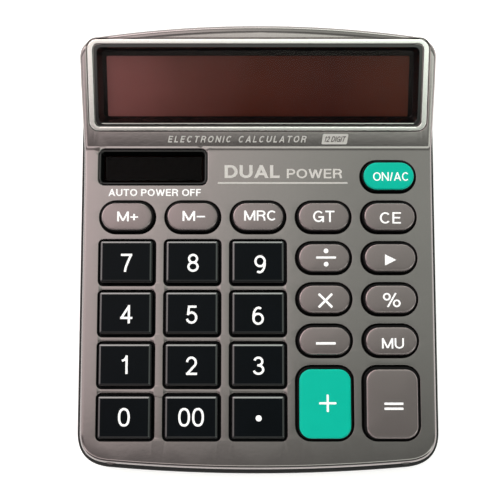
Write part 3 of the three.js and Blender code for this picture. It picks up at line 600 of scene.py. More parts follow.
def upperShell():
    shape = newShape()
    rings = [
        caseRing(lambda p, n: shell["lipInset"][1], lambda p, n, y: -shell["lipDepth"]),
        caseRing(lambda p, n: shell["lipInset"][0], lambda p, n, y: -shell["lipDepth"]),
        caseRing(lambda p, n: shell["lipInset"][0], lambda p, n, y: shell["low"]),
        caseRing(lambda p, n: ledgeOf(p, n) + 0.15, lambda p, n, y: shell["low"]),
        caseRing(lambda p, n: ledgeOf(p, n), lambda p, n, y: shell["low"] + 0.15),
    ]
    for over, down in quarter(shell["filletSteps"]):
        rings.append(caseRing(lambda p, n: outerInset(p, n) + filletOf(n) * over,
                              lambda p, n, y: topHeight(y) - filletOf(n) * down))
    addLoft(shape, rings, caps=(False, False))
    edge, wall = shell["holeEdge"], shell["wall"]
    inner = [rings[0]]
    for over, down in quarter(3):
        inner.append(caseRing(lambda p, n: innerInset(p, n) + shell["innerFillet"] * over,
                              lambda p, n, y: topHeight(y) - wall - shell["innerFillet"] * down))
    addLoft(shape, inner, caps=(False, False))

    topHoles, innerHoles = [], []
    for hole in [*keys.values(), solar]:
        loops = [onDeck(holeRing(hole, edge * out), edge * deep) for deep, out in quarter(3)]
        loops.append(onDeck(holeRing(hole, 0), wall))
        addLoft(shape, loops, caps=(False, False))
        topHoles.append(loops[0])
        innerHoles.append(loops[-1])

    # stepped opening for the display: eased edge, pocket for the surround, ledge, and the way through
    pocket, through, depth = 0.3, (-2.4, -2.0), 1.2
    under = -wall * math.cos(hoodTilt)
    loops = []
    for deep, out in quarter(3):
        grow = pocket + edge * out
        loops.append([hoodToKeypad(p, -edge * deep) for p in hoodRing(grow, grow, ring["corner"] + grow)])
    loops.append([hoodToKeypad(p, -depth) for p in hoodRing(pocket, pocket, ring["corner"] + pocket)])
    for sunk in (-depth, under):
        loops.append([hoodToKeypad(p, sunk) for p in hoodRing(*through, ring["corner"] - 0.7)])
    addLoft(shape, loops, caps=(False, False))
    topHoles.append(loops[0])
    innerHoles.append(loops[-1])

    extra = []
    for y in creaseRows():
        for i in range(-28, 29):
            x = i * 2.05
            nearSolar = abs(x - solar["x"]) < solar["wide"] + 0.45 and abs(y - solar["y"]) < solar["long"] + 0.42
            if not nearSolar:
                extra.append((x, y))
    addFill(shape, rings[-1], topHoles, lambda x, y: Vector((x, y, topHeight(y))), extra)
    addFill(shape, inner[-1], innerHoles, lambda x, y: Vector((x, y, topHeight(y) - wall)), extra)

    for i in range(1, 7):
        x, y, low, high = middleOf(f"case_screw_{i}")
        top = 4.5 if y > creaseY else topHeight(y) - wall / 2
        bossTube(shape, x, y, 2.9, 1.4, shell["low"], top, high.z + 0.3)
    board = boxIn("circuit_board", toKeypad)[1].z
    for i in range(1, 5):
        x, y, low, high = middleOf(f"board_screw_{i}")
        bossTube(shape, x, y, 1.5, 0.9, board + 0.3, -wall / 2, high.z + 0.3)
    return shape


makePiece("upper_shell", upperShell(), [lacquer], "case", ["upper_case"], toKeypad, 40)
print("upper shell made")

# ---- lower shell ----

base = {"bottom": 1.2, "floorTop": 3.0, "wall": 2.0, "chamfer": 1.2, "parting": -6.65, "rimEdge": 0.3,
        "boss": 3.4, "counterbore": 2.7, "seat": -8.45, "shank": 1.4, "footRecess": 4.5, "recessTop": 1.9}
lowerShift = -1.158 + 6.5 * math.sin(keypadTilt)


def baseRing(inset, heightOf):
    flat = caseRing(lambda p, n: inset, lambda p, n, y: 0)
    ringPoints = []
    for p in flat:
        y = p.y * math.cos(keypadTilt) + lowerShift
        ringPoints.append(Vector((p.x, y, heightOf(y))))
    return ringPoints


def partingHeight(y):
    # height of the sloping parting plane over a point of the footprint
    along = (y - toKeypad.translation.y + base["parting"] * math.sin(keypadTilt)) / math.cos(keypadTilt)
    return toKeypad.translation.z + along * math.sin(keypadTilt) + base["parting"] * math.cos(keypadTilt)


def lowerShell():
    shape = newShape()
    bottom, top, edge = base["bottom"], base["floorTop"], base["rimEdge"]
    rings = [baseRing(base["chamfer"], lambda y: bottom)]
    for up, inwards in quarter(5)[1:]:
        rings.append(baseRing(base["chamfer"] * inwards, lambda y: bottom + 2 * base["chamfer"] * up))
    for inwards, down in quarter(3):
        rings.append(baseRing(edge * inwards, lambda y: partingHeight(y) - edge * down))
    rings.append(baseRing(base["wall"], partingHeight))
    rings.append(baseRing(base["wall"], lambda y: top))
    addLoft(shape, rings, caps=(False, False))
    doorLow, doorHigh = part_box("battery_door")
    gap = 0.3
    doorFront = doorHigh.y / millimetre - 15.0 - gap
    doorBack = doorHigh.y / millimetre + gap
    doorWide = doorHigh.x / millimetre + gap
    opening = roundedRing(0, (doorFront + doorBack) / 2, doorWide, (doorBack - doorFront) / 2, 0.6, 3)
    bottomHoles, topHoles = [opening], [opening]
    addLoft(shape, [atHeight(opening, bottom), atHeight(opening, top)], caps=(False, False))
    for i in range(1, 7):
        # the bore leans with the keypad; through the floor it is drawn upright
        x, y, low, _ = middleOf(f"case_screw_{i}")
        centre = toKeypad @ Vector((x, y, low.z))
        bore = circle(centre.x, centre.y + 0.06, base["counterbore"] + 0.1)
        bottomHoles.append(bore)
        topHoles.append(bore)
        addLoft(shape, [atHeight(bore, bottom), atHeight(bore, top)], caps=(False, False))
        floorZ = (toKeypad.inverted() @ Vector((centre.x, centre.y, bottom + 0.9))).z
        profile = [(base["boss"], floorZ), (base["boss"], base["parting"]), (base["shank"], base["parting"]),
                   (base["shank"], base["seat"]), (base["counterbore"], base["seat"]), (base["counterbore"], floorZ)]
        loops = [[toKeypad @ p for p in atHeight(circle(x, y, radius), z)] for radius, z in profile]
        addLoft(shape, loops, wrap=True)
    for i in range(1, 5):
        low, high = worldBox(f"foot_{i}")
        x, y = (low.x + high.x) / 2, (low.y + high.y) / 2
        loop = circle(x, y, base["footRecess"], 40)
        bottomHoles.append(loop)
        addLoft(shape, [atHeight(loop, bottom), atHeight(loop, base["recessTop"])], caps=(False, True))
    addFill(shape, rings[0], bottomHoles, lambda x, y: Vector((x, y, bottom)))
    addFill(shape, rings[-1], topHoles, lambda x, y: Vector((x, y, top)))
    compartment(shape)
    return shape


def compartment(shape):
    # four walls round the battery, the front one notched for the door's tabs
    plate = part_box("contact_plate")[1] / millimetre
    reach, thick, high = plate.x + 0.3, 1.2, 16
    middleY = (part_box("battery")[0].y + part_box("battery")[1].y) / 2 / millimetre
    front, back = middleY - 8.0, middleY + 8.0
    low = base["bottom"] + 0.5
    notch, notchTop = [(-22.6, -13.4), (13.4, 22.6)], 9.0
    addBlock(shape, (-reach - thick, back, low), (reach + thick, back + thick, high), 0.15)
    for side in (-1, 1):
        x0, x1 = sorted((side * reach, side * (reach + thick)))
        addBlock(shape, (x0, front - thick / 2, low), (x1, back + thick / 2, high), 0.15)
    addBlock(shape, (-reach - thick, front - thick, notchTop), (reach + thick, front, high), 0.15)
    edges = [-reach - thick, notch[0][0], notch[0][1], notch[1][0], notch[1][1], reach + thick]
    for i in (0, 2, 4):
        addBlock(shape, (edges[i], front - thick, low), (edges[i + 1], front, notchTop + 0.3), 0.15)


makePiece("lower_shell", lowerShell(), [blackAbs], "case", ["lower_case"], toWorld, 40)
print("lower shell made")

# ---- display ----

# half width, front and back of the film and of the clear part; depths of the film and the mask under the pane
display = {"edge": 0.12, "film": (52.3, 10.0, 32.7), "clear": (50.7, 10.3, 30.6), "recess": -3.6,
           "filmDepth": (0.28, 0.18), "maskDepth": (0.14, 0.04)}
# bead along the front of the recess: place from the ring's front, cut short at its ends, and its section
sill = {"rise": 2.4, "ends": 4.5, "taper": 0.5, "tip": 0.3,
        "section": [(0.2, -0.1), (0.2, 0.04), (0.14, 0.12), (-0.14, 0.12), (-0.2, 0.04), (-0.2, -0.1)]}


def bezelShape():
    shape = newShape()
    high = ring["high"]
    profile = [(0, ring["low"]), (0, high - 0.25), (0.03, high - 0.1), (0.1, high - 0.01), (0.5, high),
               (0.9, high - 0.01), (0.97, high - 0.1), (1, high - 0.25), (1, ring["low"])]
    loops = []
    for share, n in profile:
        corner = ring["corner"] - share * ring["ends"]
        loops.append(atHeight(hoodRing(-ring["side"] * share, -ring["ends"] * share, corner, 10), n))
    addLoft(shape, loops, wrap=True)
    return shape


def trayShape():
    shape = newShape()
    flangeLow, bottom = ring["low"], boxIn("display_frame", toHood)[0].z
    tubeX, tubeY = -2.7, -2.3
    rows = [  # growth of the ring's outline across and along, corner, height
        (tubeX, tubeY, 2.2, flangeLow), (-2.0, -1.6, 1.7, flangeLow),
        (-2.0, -1.6, 1.7, -0.15), (-2.15, -1.75, 1.6, 0),
        (tubeX - 0.25, tubeY - 0.25, 1.8, 0), (tubeX - 0.4, tubeY - 0.4, 1.7, -0.15),
        (tubeX - 1.6, tubeY - 1.6, 1.3, display["recess"] + 0.15),
        (tubeX - 1.75, tubeY - 1.75, 1.2, display["recess"]),
        (tubeX - 0.9, tubeY - 0.9, 1.7, display["recess"] - 0.02), (tubeX - 0.9, tubeY - 0.9, 1.7, bottom),
        (tubeX, tubeY, 2.2, bottom),
    ]
    addLoft(shape, [atHeight(hoodRing(x, y, corner), n) for x, y, corner, n in rows], wrap=True)
    return shape


def sheetRing(size, corner, n):
    half, front, back = size
    return atHeight(roundedRing(0, (front + back) / 2, half, (back - front) / 2, corner, 6), n)


makePiece("display_ring", bezelShape(), [plated], "case", ["display_bezel"], toHood, 30)
makePiece("display_tray", trayShape(), [glossAbs], "case", ["display_frame"], toHood, 30)
paneLow, paneHigh = boxIn("display_window", toHood)
pane = newShape()
paneSize = (paneHigh.x, paneLow.y, paneHigh.y)
paneInner = (paneHigh.x - display["edge"], paneLow.y + display["edge"], paneHigh.y - display["edge"])
addLoft(pane, [sheetRing(paneSize, 1.2, paneLow.z), sheetRing(paneSize, 1.2, paneHigh.z - display["edge"]),
               sheetRing(paneInner, 1.1, paneHigh.z)])
makePiece("display_pane", pane, [smoked], "case", ["display_window"], toHood, 30)
film = newShape()
addLoft(film, [sheetRing(display["film"], 0.8, paneLow.z - depth) for depth in display["filmDepth"]])
makePiece("display_film", film, [polariser], "case", (), toHood, 30)
mask = newShape()
maskLow, maskHigh = (paneLow.z - depth for depth in display["maskDepth"])
addLoft(mask, [sheetRing(display["film"], 0.8, maskLow), sheetRing(display["film"], 0.8, maskHigh),
               sheetRing(display["clear"], 0.5, maskHigh), sheetRing(display["clear"], 0.5, maskLow)], wrap=True)
makePiece("display_mask", mask, [keySkirt], "case", (), toHood, 30)
bead = newShape()
beadY, beadHalf = ring["middle"] - ring["long"] + sill["rise"], ring["wide"] - sill["ends"]
beadEnd = beadHalf + sill["taper"]
addLoft(bead, [[Vector((x, beadY + y * share, n * share)) for y, n in sill["section"]]
               for x, share in ((-beadEnd, sill["tip"]), (-beadHalf, 1.0), (beadHalf, 1.0), (beadEnd, sill["tip"]))])
makePiece("display_sill", bead, [plated], "case", (), toHood, 40)
print("display made")

# ---- solar window ----


def solarFrameShape():
    shape = newShape()
    low = boxIn("solar_frame", toKeypad)[0].z
    rows = [(1.0, low), (1.0, low + 1.2), (-0.3, low + 1.2), (-0.3, -0.12), (-0.38, 0.03), (-0.5, 0.1),
            (-0.72, 0.1), (-0.86, 0.04), (-0.95, -0.1), (-1.62, -2.45), (-1.7, -2.6), (-1.7, low)]
    addLoft(shape, [atHeight(holeRing(solar, grow), w) for grow, w in rows], wrap=True)
    return shape


makePiece("solar_surround", solarFrameShape(), [glossAbs], "case", ["solar_frame"], toKeypad, 30)
lensLow, lensHigh = boxIn("solar_window", toKeypad)
lens = newShape()
addLoft(lens, [atHeight(holeRing(solar, -2.0), lensLow.z), atHeight(holeRing(solar, -2.0), lensHigh.z - 0.1),
               atHeight(holeRing(solar, -2.1), lensHigh.z)])
makePiece("solar_lens", lens, [solarAcrylic], "case", ["solar_window"], toKeypad, 30)
cellLow, cellHigh = boxIn("solar_cell", toKeypad)
cellShape = newShape()
addBlock(cellShape, cellLow, cellHigh, 0.08)
makePiece("solar_glass", cellShape, [silicon], "case", ["solar_cell"], toKeypad, 30)
print("solar window made")

# ---- Geometry Nodes for what repeats ----


def newTree(name, inputs):
    tree = bpy.data.node_groups.new(name, "GeometryNodeTree")
    tree.interface.new_socket("Geometry", in_out="INPUT", socket_type="NodeSocketGeometry")
    tree.interface.new_socket("Geometry", in_out="OUTPUT", socket_type="NodeSocketGeometry")
    for label, kind, value in inputs:
        socket = tree.interface.new_socket(label, in_out="INPUT", socket_type="NodeSocket" + kind)
        if value is not None:
            socket.default_value = value
    return tree, tree.nodes.new("NodeGroupInput"), tree.nodes.new("NodeGroupOutput")


def runTree(name, tree, points, values, body, replaced=(), sharpAngle=35):
    # runs a tree on a mesh of loose points and keeps the result as a plain mesh
    mesh = bpy.data.meshes.new(name)
    mesh.from_pydata([p * millimetre for p in points], [], [])
    piece = bpy.data.objects.new(name, mesh)
    bpy.context.scene.collection.objects.link(piece)
    modifier = piece.modifiers.new("repeat", "NODES")
    modifier.node_group = tree
    for item in tree.interface.items_tree:
        if item.in_out == "INPUT" and item.name in values:
            modifier[item.identifier] = values[item.name]
    graph = bpy.context.evaluated_depsgraph_get()
    made = bpy.data.meshes.new_from_object(piece.evaluated_get(graph))
    piece.modifiers.clear()
    piece.data = made
    made.name = name
    finishMesh(piece, sharpAngle)
    return attach(piece, body, replaced)


def closeTree(tree, spread, finish, result):
    # makes the instances real and gives them their material
    real = addNode(tree, "GeometryNodeRealizeInstances", links={"Geometry": spread.outputs[0]})
    painted = addNode(tree, "GeometryNodeSetMaterial", links={"Geometry": real.outputs[0], "Material": finish})
    tree.links.new(painted.outputs[0], result.inputs[0])
    return tree


def screwTree():
    tree, given, result = newTree("crossHeadScrews", [
        ("Head Radius", "Float", None), ("Head Height", "Float", None), ("Shank Radius", "Float", None),
        ("Shank Length", "Float", None), ("Slot Width", "Float", None), ("Tilt", "Vector", None),
        ("Finish", "Material", None)])
    socket = given.outputs

    def pushed(shape, share, length):
        # moved along the screw by a share of a length
        push = addNode(tree, "Math", {"operation": "MULTIPLY", 1: share}, {0: length})
        place = addNode(tree, "CombineXYZ", links={"Z": push.outputs[0]})
        return addNode(tree, "GeometryNodeTransform", links={
            "Geometry": shape.outputs["Mesh"], "Translation": place.outputs[0]}).outputs[0]

    head = addNode(tree, "GeometryNodeMeshCylinder", {"Vertices": 32},
                   {"Radius": socket["Head Radius"], "Depth": socket["Head Height"]})
    shank = addNode(tree, "GeometryNodeMeshCylinder", {"Vertices": 20},
                    {"Radius": socket["Shank Radius"], "Depth": socket["Shank Length"]})
    cut = addNode(tree, "GeometryNodeMeshBoolean", {"operation": "DIFFERENCE"},
                  {"Mesh 1": pushed(head, -0.5, socket["Head Height"])})
    across = addNode(tree, "Math", {"operation": "MULTIPLY", 1: 1.25}, {0: socket["Head Radius"]}).outputs[0]
    for first, second in ((across, socket["Slot Width"]), (socket["Slot Width"], across)):
        size = addNode(tree, "CombineXYZ", links={"X": first, "Y": second, "Z": socket["Head Height"]})
        bar = addNode(tree, "GeometryNodeMeshCube", links={"Size": size.outputs[0]})
        tree.links.new(pushed(bar, -1.1, socket["Head Height"]), cut.inputs["Mesh 2"])
    whole = addNode(tree, "GeometryNodeJoinGeometry")
    tree.links.new(cut.outputs["Mesh"], whole.inputs[0])
    tree.links.new(pushed(shank, 0.5, socket["Shank Length"]), whole.inputs[0])
    spread = addNode(tree, "GeometryNodeInstanceOnPoints", links={
        "Points": socket["Geometry"], "Instance": whole.outputs[0], "Rotation": socket["Tilt"]})
    return closeTree(tree, spread, socket["Finish"], result)


screws = screwTree()


def screwSet(name, prefix, count, size):
    points, nodes = [], []
    for i in range(1, count + 1):
        node = f"{prefix}_{i}"
        x, y, low, high = middleOf(node)
        nodes.append(node)
        points.append(toKeypad @ Vector((x, y, low.z + size["headHeight"])))
        length = high.z - low.z - size["headHeight"]
    values = {"Head Radius": size["head"] * millimetre, "Head Height": size["headHeight"] * millimetre,
              "Shank Radius": size["shank"] * millimetre, "Shank Length": length * millimetre,
              "Slot Width": size["slot"] * millimetre, "Tilt": (keypadTilt, 0.0, 0.0), "Finish": screwSteel}
    return runTree(name, screws, points, values, "case", nodes, 30)


screwSet("case_screws", "case_screw", 6, {"head": 2.3, "headHeight": 1.6, "shank": 1.1, "slot": 0.65})
screwSet("board_screws", "board_screw", 4, {"head": 1.5, "headHeight": 0.9, "shank": 0.6, "slot": 0.45})


def barTree():
    # straight bars, rounded underneath, side by side on each point
    tree, given, result = newTree("roundedBars", [
        ("Count", "Int", 8), ("Pitch", "Vector", None), ("Radius", "Float", None), ("Length", "Float", None),
        ("Turn", "Vector", None), ("Finish", "Material", None)])
    socket = given.outputs
    line = addNode(tree, "GeometryNodeMeshLine", {"mode": "OFFSET"},
                   {"Count": socket["Count"], "Offset": socket["Pitch"]})
    bar = addNode(tree, "GeometryNodeMeshCylinder", {"Vertices": 16},
                  {"Radius": socket["Radius"], "Depth": socket["Length"]})
    turned = addNode(tree, "GeometryNodeTransform", links={
        "Geometry": bar.outputs["Mesh"], "Rotation": socket["Turn"]})
    row = addNode(tree, "GeometryNodeInstanceOnPoints", links={
        "Points": line.outputs["Mesh"], "Instance": turned.outputs[0]})
    placed = addNode(tree, "GeometryNodeInstanceOnPoints", links={
        "Points": socket["Geometry"], "Instance": row.outputs[0]})
    return closeTree(tree, placed, socket["Finish"], result)


bars = barTree()
print("screws made")

# ---- keys ----

keyForm = {
    "flangeLow": -3.4, "flangeHigh": -2.3, "flange": 0.6, "play": 0.45, "top": 3.4, "skirtTop": 1.9,
    "numberInset": 1.6, "bevel": 0.5, "bevelDrop": 0.3, "faceRound": 0.55, "crown": 0.1,
    "ovalInset": 1.0, "tallInset": 1.1, "faceShift": 0.25, "draft": 0.12, "sideBreak": 0.9, "numberDrop": 0.05,
    "bevelSoft": (0.1, 0.25), "bevelFace": 0.5, "skirtRound": 0.15, "skirtDraw": 0.27, "faceSink": 0.3,
}
# printing of each key: what it says, height, width (None for its own) and stroke as a share of the height
legends = {f"key_{digit}": (digit, 6.0, None, 0.122) for digit in ("0", "00", *"123456789")}
legends.update({
    "key_m_plus": ("M+", 3.3, 6.9, 0.142), "key_m_minus": ("M-", 3.3, 7.5, 0.142),
    "key_mrc": ("MRC", 3.4, 10.8, 0.142),
    "key_gt": ("GT", 3.8, 7.1, 0.135), "key_ce": ("CE", 3.8, 7.1, 0.135), "key_mu": ("MU", 3.4, 7.2, 0.14),
    "key_percent": ("%", 4.7, 5.8, 0.11), "key_on_ac": ("ON/AC", 2.9, 12.0, 0.135),
})
# the printing sits a little off centre, by a different amount on each key
legendShift = {
    "key_on_ac": (0.75, -0.3), "key_m_plus": (0.33, 0), "key_m_minus": (0.5, 0.15), "key_mrc": (0.8, 0.3),
    "key_ce": (0.33, -0.5), "key_divide": (0.65, 0), "key_shift": (0.15, -0.8), "key_multiply": (0.33, -0.5),
    "key_percent": (0.33, -0.33), "key_minus": (0.33, -0.8), "key_mu": (0.5, -0.8), "key_7": (0.15, -0.5),
    "key_8": (0.33, -0.5), "key_9": (0.65, -1.0), "key_4": (0.33, -0.5), "key_5": (0, -0.65), "key_6": (0, -1.0),
    "key_2": (0, -0.33), "key_3": (0.15, -0.33), "key_plus": (0.8, 0.15), "key_equals": (0.5, -0.8),
    "key_point": (0.15, 0),
}
inkLift = 0.045  # how far the ink stands off a surface


def arc(x, y, radiusX, radiusY, start, end, steps=12):
    turns = [math.radians(start + (end - start) * i / steps) for i in range(steps + 1)]
    return [(x + radiusX * math.cos(t), y + radiusY * math.sin(t)) for t in turns]


def loopPath(x, y, radiusX, radiusY, squareness=1.0):
    # closed oval; squareness below 1 fills out its shoulders
    path = []
    for i in range(24):
        t = math.radians(i * 15)
        c, q = math.cos(t), math.sin(t)
        path.append((x + radiusX * math.copysign(abs(c) ** squareness, c),
                     y + radiusY * math.copysign(abs(q) ** squareness, q)))
    return path


# each glyph: its width as a share of its height, and its strokes along their middle lines, over a unit square.
# A stroke starts with "open", "square" for ends carried on by half a stroke, or "closed".
glyphs = {
    "0": (0.64, [("closed", loopPath(0.5, 0.5, 0.5, 0.5, 0.85))]),
    "1": (0.42, [("square", [(0.85, 0), (0.85, 1)]), ("open", [(0, 0.74), (0.5, 0.8), (0.85, 1.0)])]),
    "2": (0.62, [("open", arc(0.5, 0.7, 0.48, 0.3, 175, -35) + [(0.04, 0.0)]), ("square", [(0.04, 0), (1, 0)])]),
    "3": (0.62, [("open", arc(0.47, 0.76, 0.43, 0.24, 165, -80) + [(0.36, 0.52)]),
                 ("open", [(0.36, 0.52)] + arc(0.48, 0.26, 0.52, 0.26, 80, -165))]),
    "4": (0.66, [("square", [(0.76, 0), (0.76, 1)]), ("open", [(0.76, 1.0), (0, 0.27)]),
                 ("square", [(0, 0.27), (1, 0.27)])]),
    "5": (0.62, [("square", [(0.2, 1), (0.9, 1)]), ("open", [(0.2, 1.0), (0.09, 0.47)]),
                 ("open", arc(0.48, 0.32, 0.52, 0.32, 140, -165))]),
    "6": (0.63, [("closed", loopPath(0.5, 0.31, 0.5, 0.31)), ("open", arc(0.55, 0.46, 0.55, 0.54, 195, 62))]),
    "7": (0.62, [("square", [(0, 1), (1, 1)]), ("open", [(1, 1), (0.66, 0.56), (0.42, 0.2), (0.33, -0.1)])]),
    "8": (0.63, [("closed", loopPath(0.5, 0.76, 0.43, 0.24)), ("closed", loopPath(0.5, 0.26, 0.5, 0.26))]),
    "9": (0.63, [("closed", loopPath(0.5, 0.69, 0.5, 0.31)), ("open", arc(0.45, 0.54, 0.55, 0.54, 15, -118))]),
    "A": (0.8, [("square", [(0.0, -0.06), (0.5, 1.06)]), ("square", [(1, -0.06), (0.5, 1.06)]),
                ("open", [(0.16, 0.27), (0.84, 0.27)])]),
    "C": (0.8, [("open", arc(0.5, 0.5, 0.5, 0.5, 42, 318, 20))]),
    "D": (0.76, [("square", [(0, 0), (0, 1)]), ("open", [(0, 1), (0.45, 1)] + arc(0.45, 0.5, 0.55, 0.5, 80, -80) +
                                                [(0.45, 0), (0, 0)])]),
    "E": (0.64, [("square", [(0, 0), (0, 1)]), ("square", [(0, 0), (0.95, 0)]), ("square", [(0, 1), (0.95, 1)]),
                 ("square", [(0, 0.52), (0.85, 0.52)])]),
    "F": (0.6, [("square", [(0, 0), (0, 1)]), ("square", [(0, 1), (0.95, 1)]), ("square", [(0, 0.5), (0.85, 0.5)])]),
    "G": (0.84, [("open", arc(0.5, 0.5, 0.5, 0.5, 42, 335, 20)), ("square", [(1, 0), (1, 0.38)]),
                 ("square", [(0.58, 0.44), (1, 0.44)])]),
    "I": (0.0, [("square", [(0, 0), (0, 1)])]),
    "L": (0.58, [("square", [(0, 0), (0, 1)]), ("square", [(0, 0), (0.95, 0)])]),
    "M": (0.92, [("square", [(0, 0), (0, 1)]), ("square", [(1, 0), (1, 1)]), ("open", [(0, 1.06), (0.5, -0.02)]),
                 ("open", [(1, 1.06), (0.5, -0.02)])]),
    "N": (0.78, [("square", [(0, 0), (0, 1)]), ("square", [(1, 0), (1, 1)]), ("open", [(0, 1.06), (1, -0.06)])]),
    "O": (0.86, [("closed", loopPath(0.5, 0.5, 0.5, 0.5, 0.95))]),
    "P": (0.68, [("square", [(0, 0), (0, 1)]), ("open", [(0, 1), (0.55, 1)] + arc(0.55, 0.73, 0.45, 0.27, 80, -80) +
                                                [(0.55, 0.46), (0, 0.46)])]),
    "R": (0.74, [("square", [(0, 0), (0, 1)]), ("open", [(0, 1), (0.55, 1)] + arc(0.55, 0.75, 0.42, 0.25, 80, -80) +
                                                [(0.55, 0.5), (0, 0.5)]),
                 ("open", [(0.55, 0.5), (0.82, 0.4), (0.93, 0.2), (0.98, -0.1)])]),
    "T": (0.7, [("square", [(0.5, 0), (0.5, 1)]), ("square", [(0, 1), (1, 1)])]),
    "U": (0.76, [("square", [(0, 1), (0, 0.36)] + arc(0.5, 0.36, 0.5, 0.36, 190, 350) + [(1, 0.36), (1, 1)])]),
    "W": (1.12, [("open", [(0, 1.08), (0.25, -0.06)]), ("open", [(0.25, -0.06), (0.5, 1.0)]),
                 ("open", [(0.5, 1.0), (0.75, -0.06)]), ("open", [(0.75, -0.06), (1, 1.08)])]),
    "%": (1.1, [("closed", loopPath(0.19, 0.76, 0.19, 0.24)), ("closed", loopPath(0.81, 0.24, 0.19, 0.24)),
                ("open", [(0.24, -0.06), (0.76, 1.06)])]),
    "/": (0.36, [("open", [(0.0, -0.06), (1, 1.06)])]),
    "+": (0.62, [("square", [(0, 0.42), (1, 0.42)]), ("square", [(0.5, 0.13), (0.5, 0.71)])]),
    "-": (0.62, [("square", [(0, 0.42), (1, 0.42)])]),
}


def strokeQuads(kind, path, half):
    # the four-sided patches of one stroke, mitred where it bends
    points = [Vector(p) for p in path]
    if kind == "square":
        points[0] = points[0] + (points[0] - points[1]).normalized() * half
        points[-1] = points[-1] + (points[-1] - points[-2]).normalized() * half
    count, rails = len(points), []
    for i, p in enumerate(points):
        before = points[i - 1] if i or kind == "closed" else None
        after = points[(i + 1) % count] if i < count - 1 or kind == "closed" else None
        first = (p - before).normalized() if before is not None else (after - p).normalized()
        second = (after - p).normalized() if after is not None else first
        normal = Vector((-(first.y + second.y), first.x + second.x)).normalized()
        reach = half / max(0.5, normal.dot(Vector((-first.y, first.x))))
        rails.append((p + normal * reach, p - normal * reach))
    pairs = list(zip(rails, rails[1:] + ([rails[0]] if kind == "closed" else [])))
    return [(a[0], b[0], b[1], a[1]) for a, b in pairs]


glyphsMade = {}


def glyphFaces(letter, weight):
    # one glyph of unit height as flat triangles: its strokes joined, and trimmed to the line
    if (letter, weight) in glyphsMade:
        return glyphsMade[letter, weight]
    width, strokes = glyphs[letter]
    half = weight / 2
    reach = max(width, weight) - weight
    quads = []
    for kind, path in strokes:
        real = [(half + x * reach, half + y * (1 - weight)) for x, y in path]
        quads += strokeQuads(kind, real, half)
    flat, edges = [], []
    for quad in quads:
        start = len(flat)
        flat.extend(quad)
        edges.extend((start + i, start + (i + 1) % 4) for i in range(4))
    start = len(flat)
    flat.extend([Vector((-1, 0)), Vector((3, 0)), Vector((-1, 1)), Vector((3, 1))])
    edges.extend([(start, start + 1), (start + 2, start + 3)])
    points, _, faces, *_ = delaunay_2d_cdt(flat, edges, [], 0, 1e-5)
    kept = []
    for face in faces:
        middle = sum((points[i] for i in face), Vector((0, 0))) / 3
        if 0 < middle.y < 1 and any(insideLoop(middle, quad) for quad in quads):
            kept.append(face)
    glyphsMade[letter, weight] = (points, kept, max(width, weight))
    return glyphsMade[letter, weight]


def addPlate(shape, points, faces, low, high):
    # gives flat triangles a thickness
    count, sides = len(points), {}
    for face in faces:
        for a, b in zip(face, [*face[1:], face[0]]):
            sides[a, b] = True
    walls = [[a, b, b + count, a + count] for a, b in sides if (b, a) not in sides]
    solid = [Vector((p[0], p[1], low)) for p in points] + [Vector((p[0], p[1], high)) for p in points]
    addFaces(shape, solid, [list(f)[::-1] for f in faces] + [[i + count for i in f] for f in faces] + walls)


def textShape(words, height, width=None, weight=0.15, slant=0.0, gap=0.11, space=0.36):
    # words as a thin plate of ink, centred on the middle of the capitals
    letters, along = [], 0.0
    for letter in words:
        if letter == " ":
            along += space
            continue
        points, faces, wide = glyphFaces(letter, weight)
        letters.append((along, points, faces))
        along += wide + gap
    along -= gap
    squeeze = (width / (along * height)) if width else 1.0
    shape = newShape()
    for start, points, faces in letters:
        placed = []
        for p in points:
            y = (p.y - 0.5) * height
            placed.append(((p.x + start - along / 2) * height * squeeze + slant * y, y))
        addPlate(shape, placed, faces, -inkLift / 2, inkLift / 2)
    return shape


def barShape(strokes, dots=(), corner=0.18):
    # strokes are (x, y, length, thickness, turn in degrees); dots are (x, y, radius)
    shape = newShape()
    for x, y, length, thickness, turn in strokes:
        spin = Matrix.Translation((x, y, 0)) @ Matrix.Rotation(math.radians(turn), 4, "Z")
        loop = roundedRing(0, 0, length / 2, thickness / 2, corner, 3)
        addLoft(shape, [[spin @ p for p in atHeight(loop, z)] for z in (-inkLift / 2, inkLift / 2)])
    for x, y, radius in dots:
        addLoft(shape, [atHeight(circle(x, y, radius, 24), z) for z in (-inkLift / 2, inkLift / 2)])
    return shape


def triangleShape(wide, high):
    shape = newShape()
    corners = [(-wide / 2, -high / 2), (wide / 2, 0), (-wide / 2, high / 2)]
    addLoft(shape, [atHeight(corners, z) for z in (-inkLift / 2, inkLift / 2)])
    return shape


symbols = {
    "key_point": barShape([], [(0, -0.35, 1.0)]),
    "key_divide": barShape([(0, 0, 6.6, 0.7, 0)], [(0, 2.2, 0.78), (0, -2.2, 0.78)]),
    "key_multiply": barShape([(0, 0, 6.3, 0.75, 45), (0, 0, 6.3, 0.75, -45)]),
    "key_minus": barShape([(0, 0, 6.5, 0.8, 0)]),
    "key_plus": barShape([(0, 0, 5.6, 0.7, 0), (0, 0, 5.6, 0.7, 90)]),
    "key_equals": barShape([(0, 0.8, 6.2, 0.75, 0), (0, -0.8, 6.2, 0.75, 0)]),
    "key_shift": triangleShape(3.7, 3.7),
}


def keyStyle(node):
    if node in ("key_on_ac", "key_plus"):
        return keyTeal, "key_green"
    if keys[node]["corner"] < 2:
        return keyBlack, "key_black"
    return keyLacquer, "key_grey"


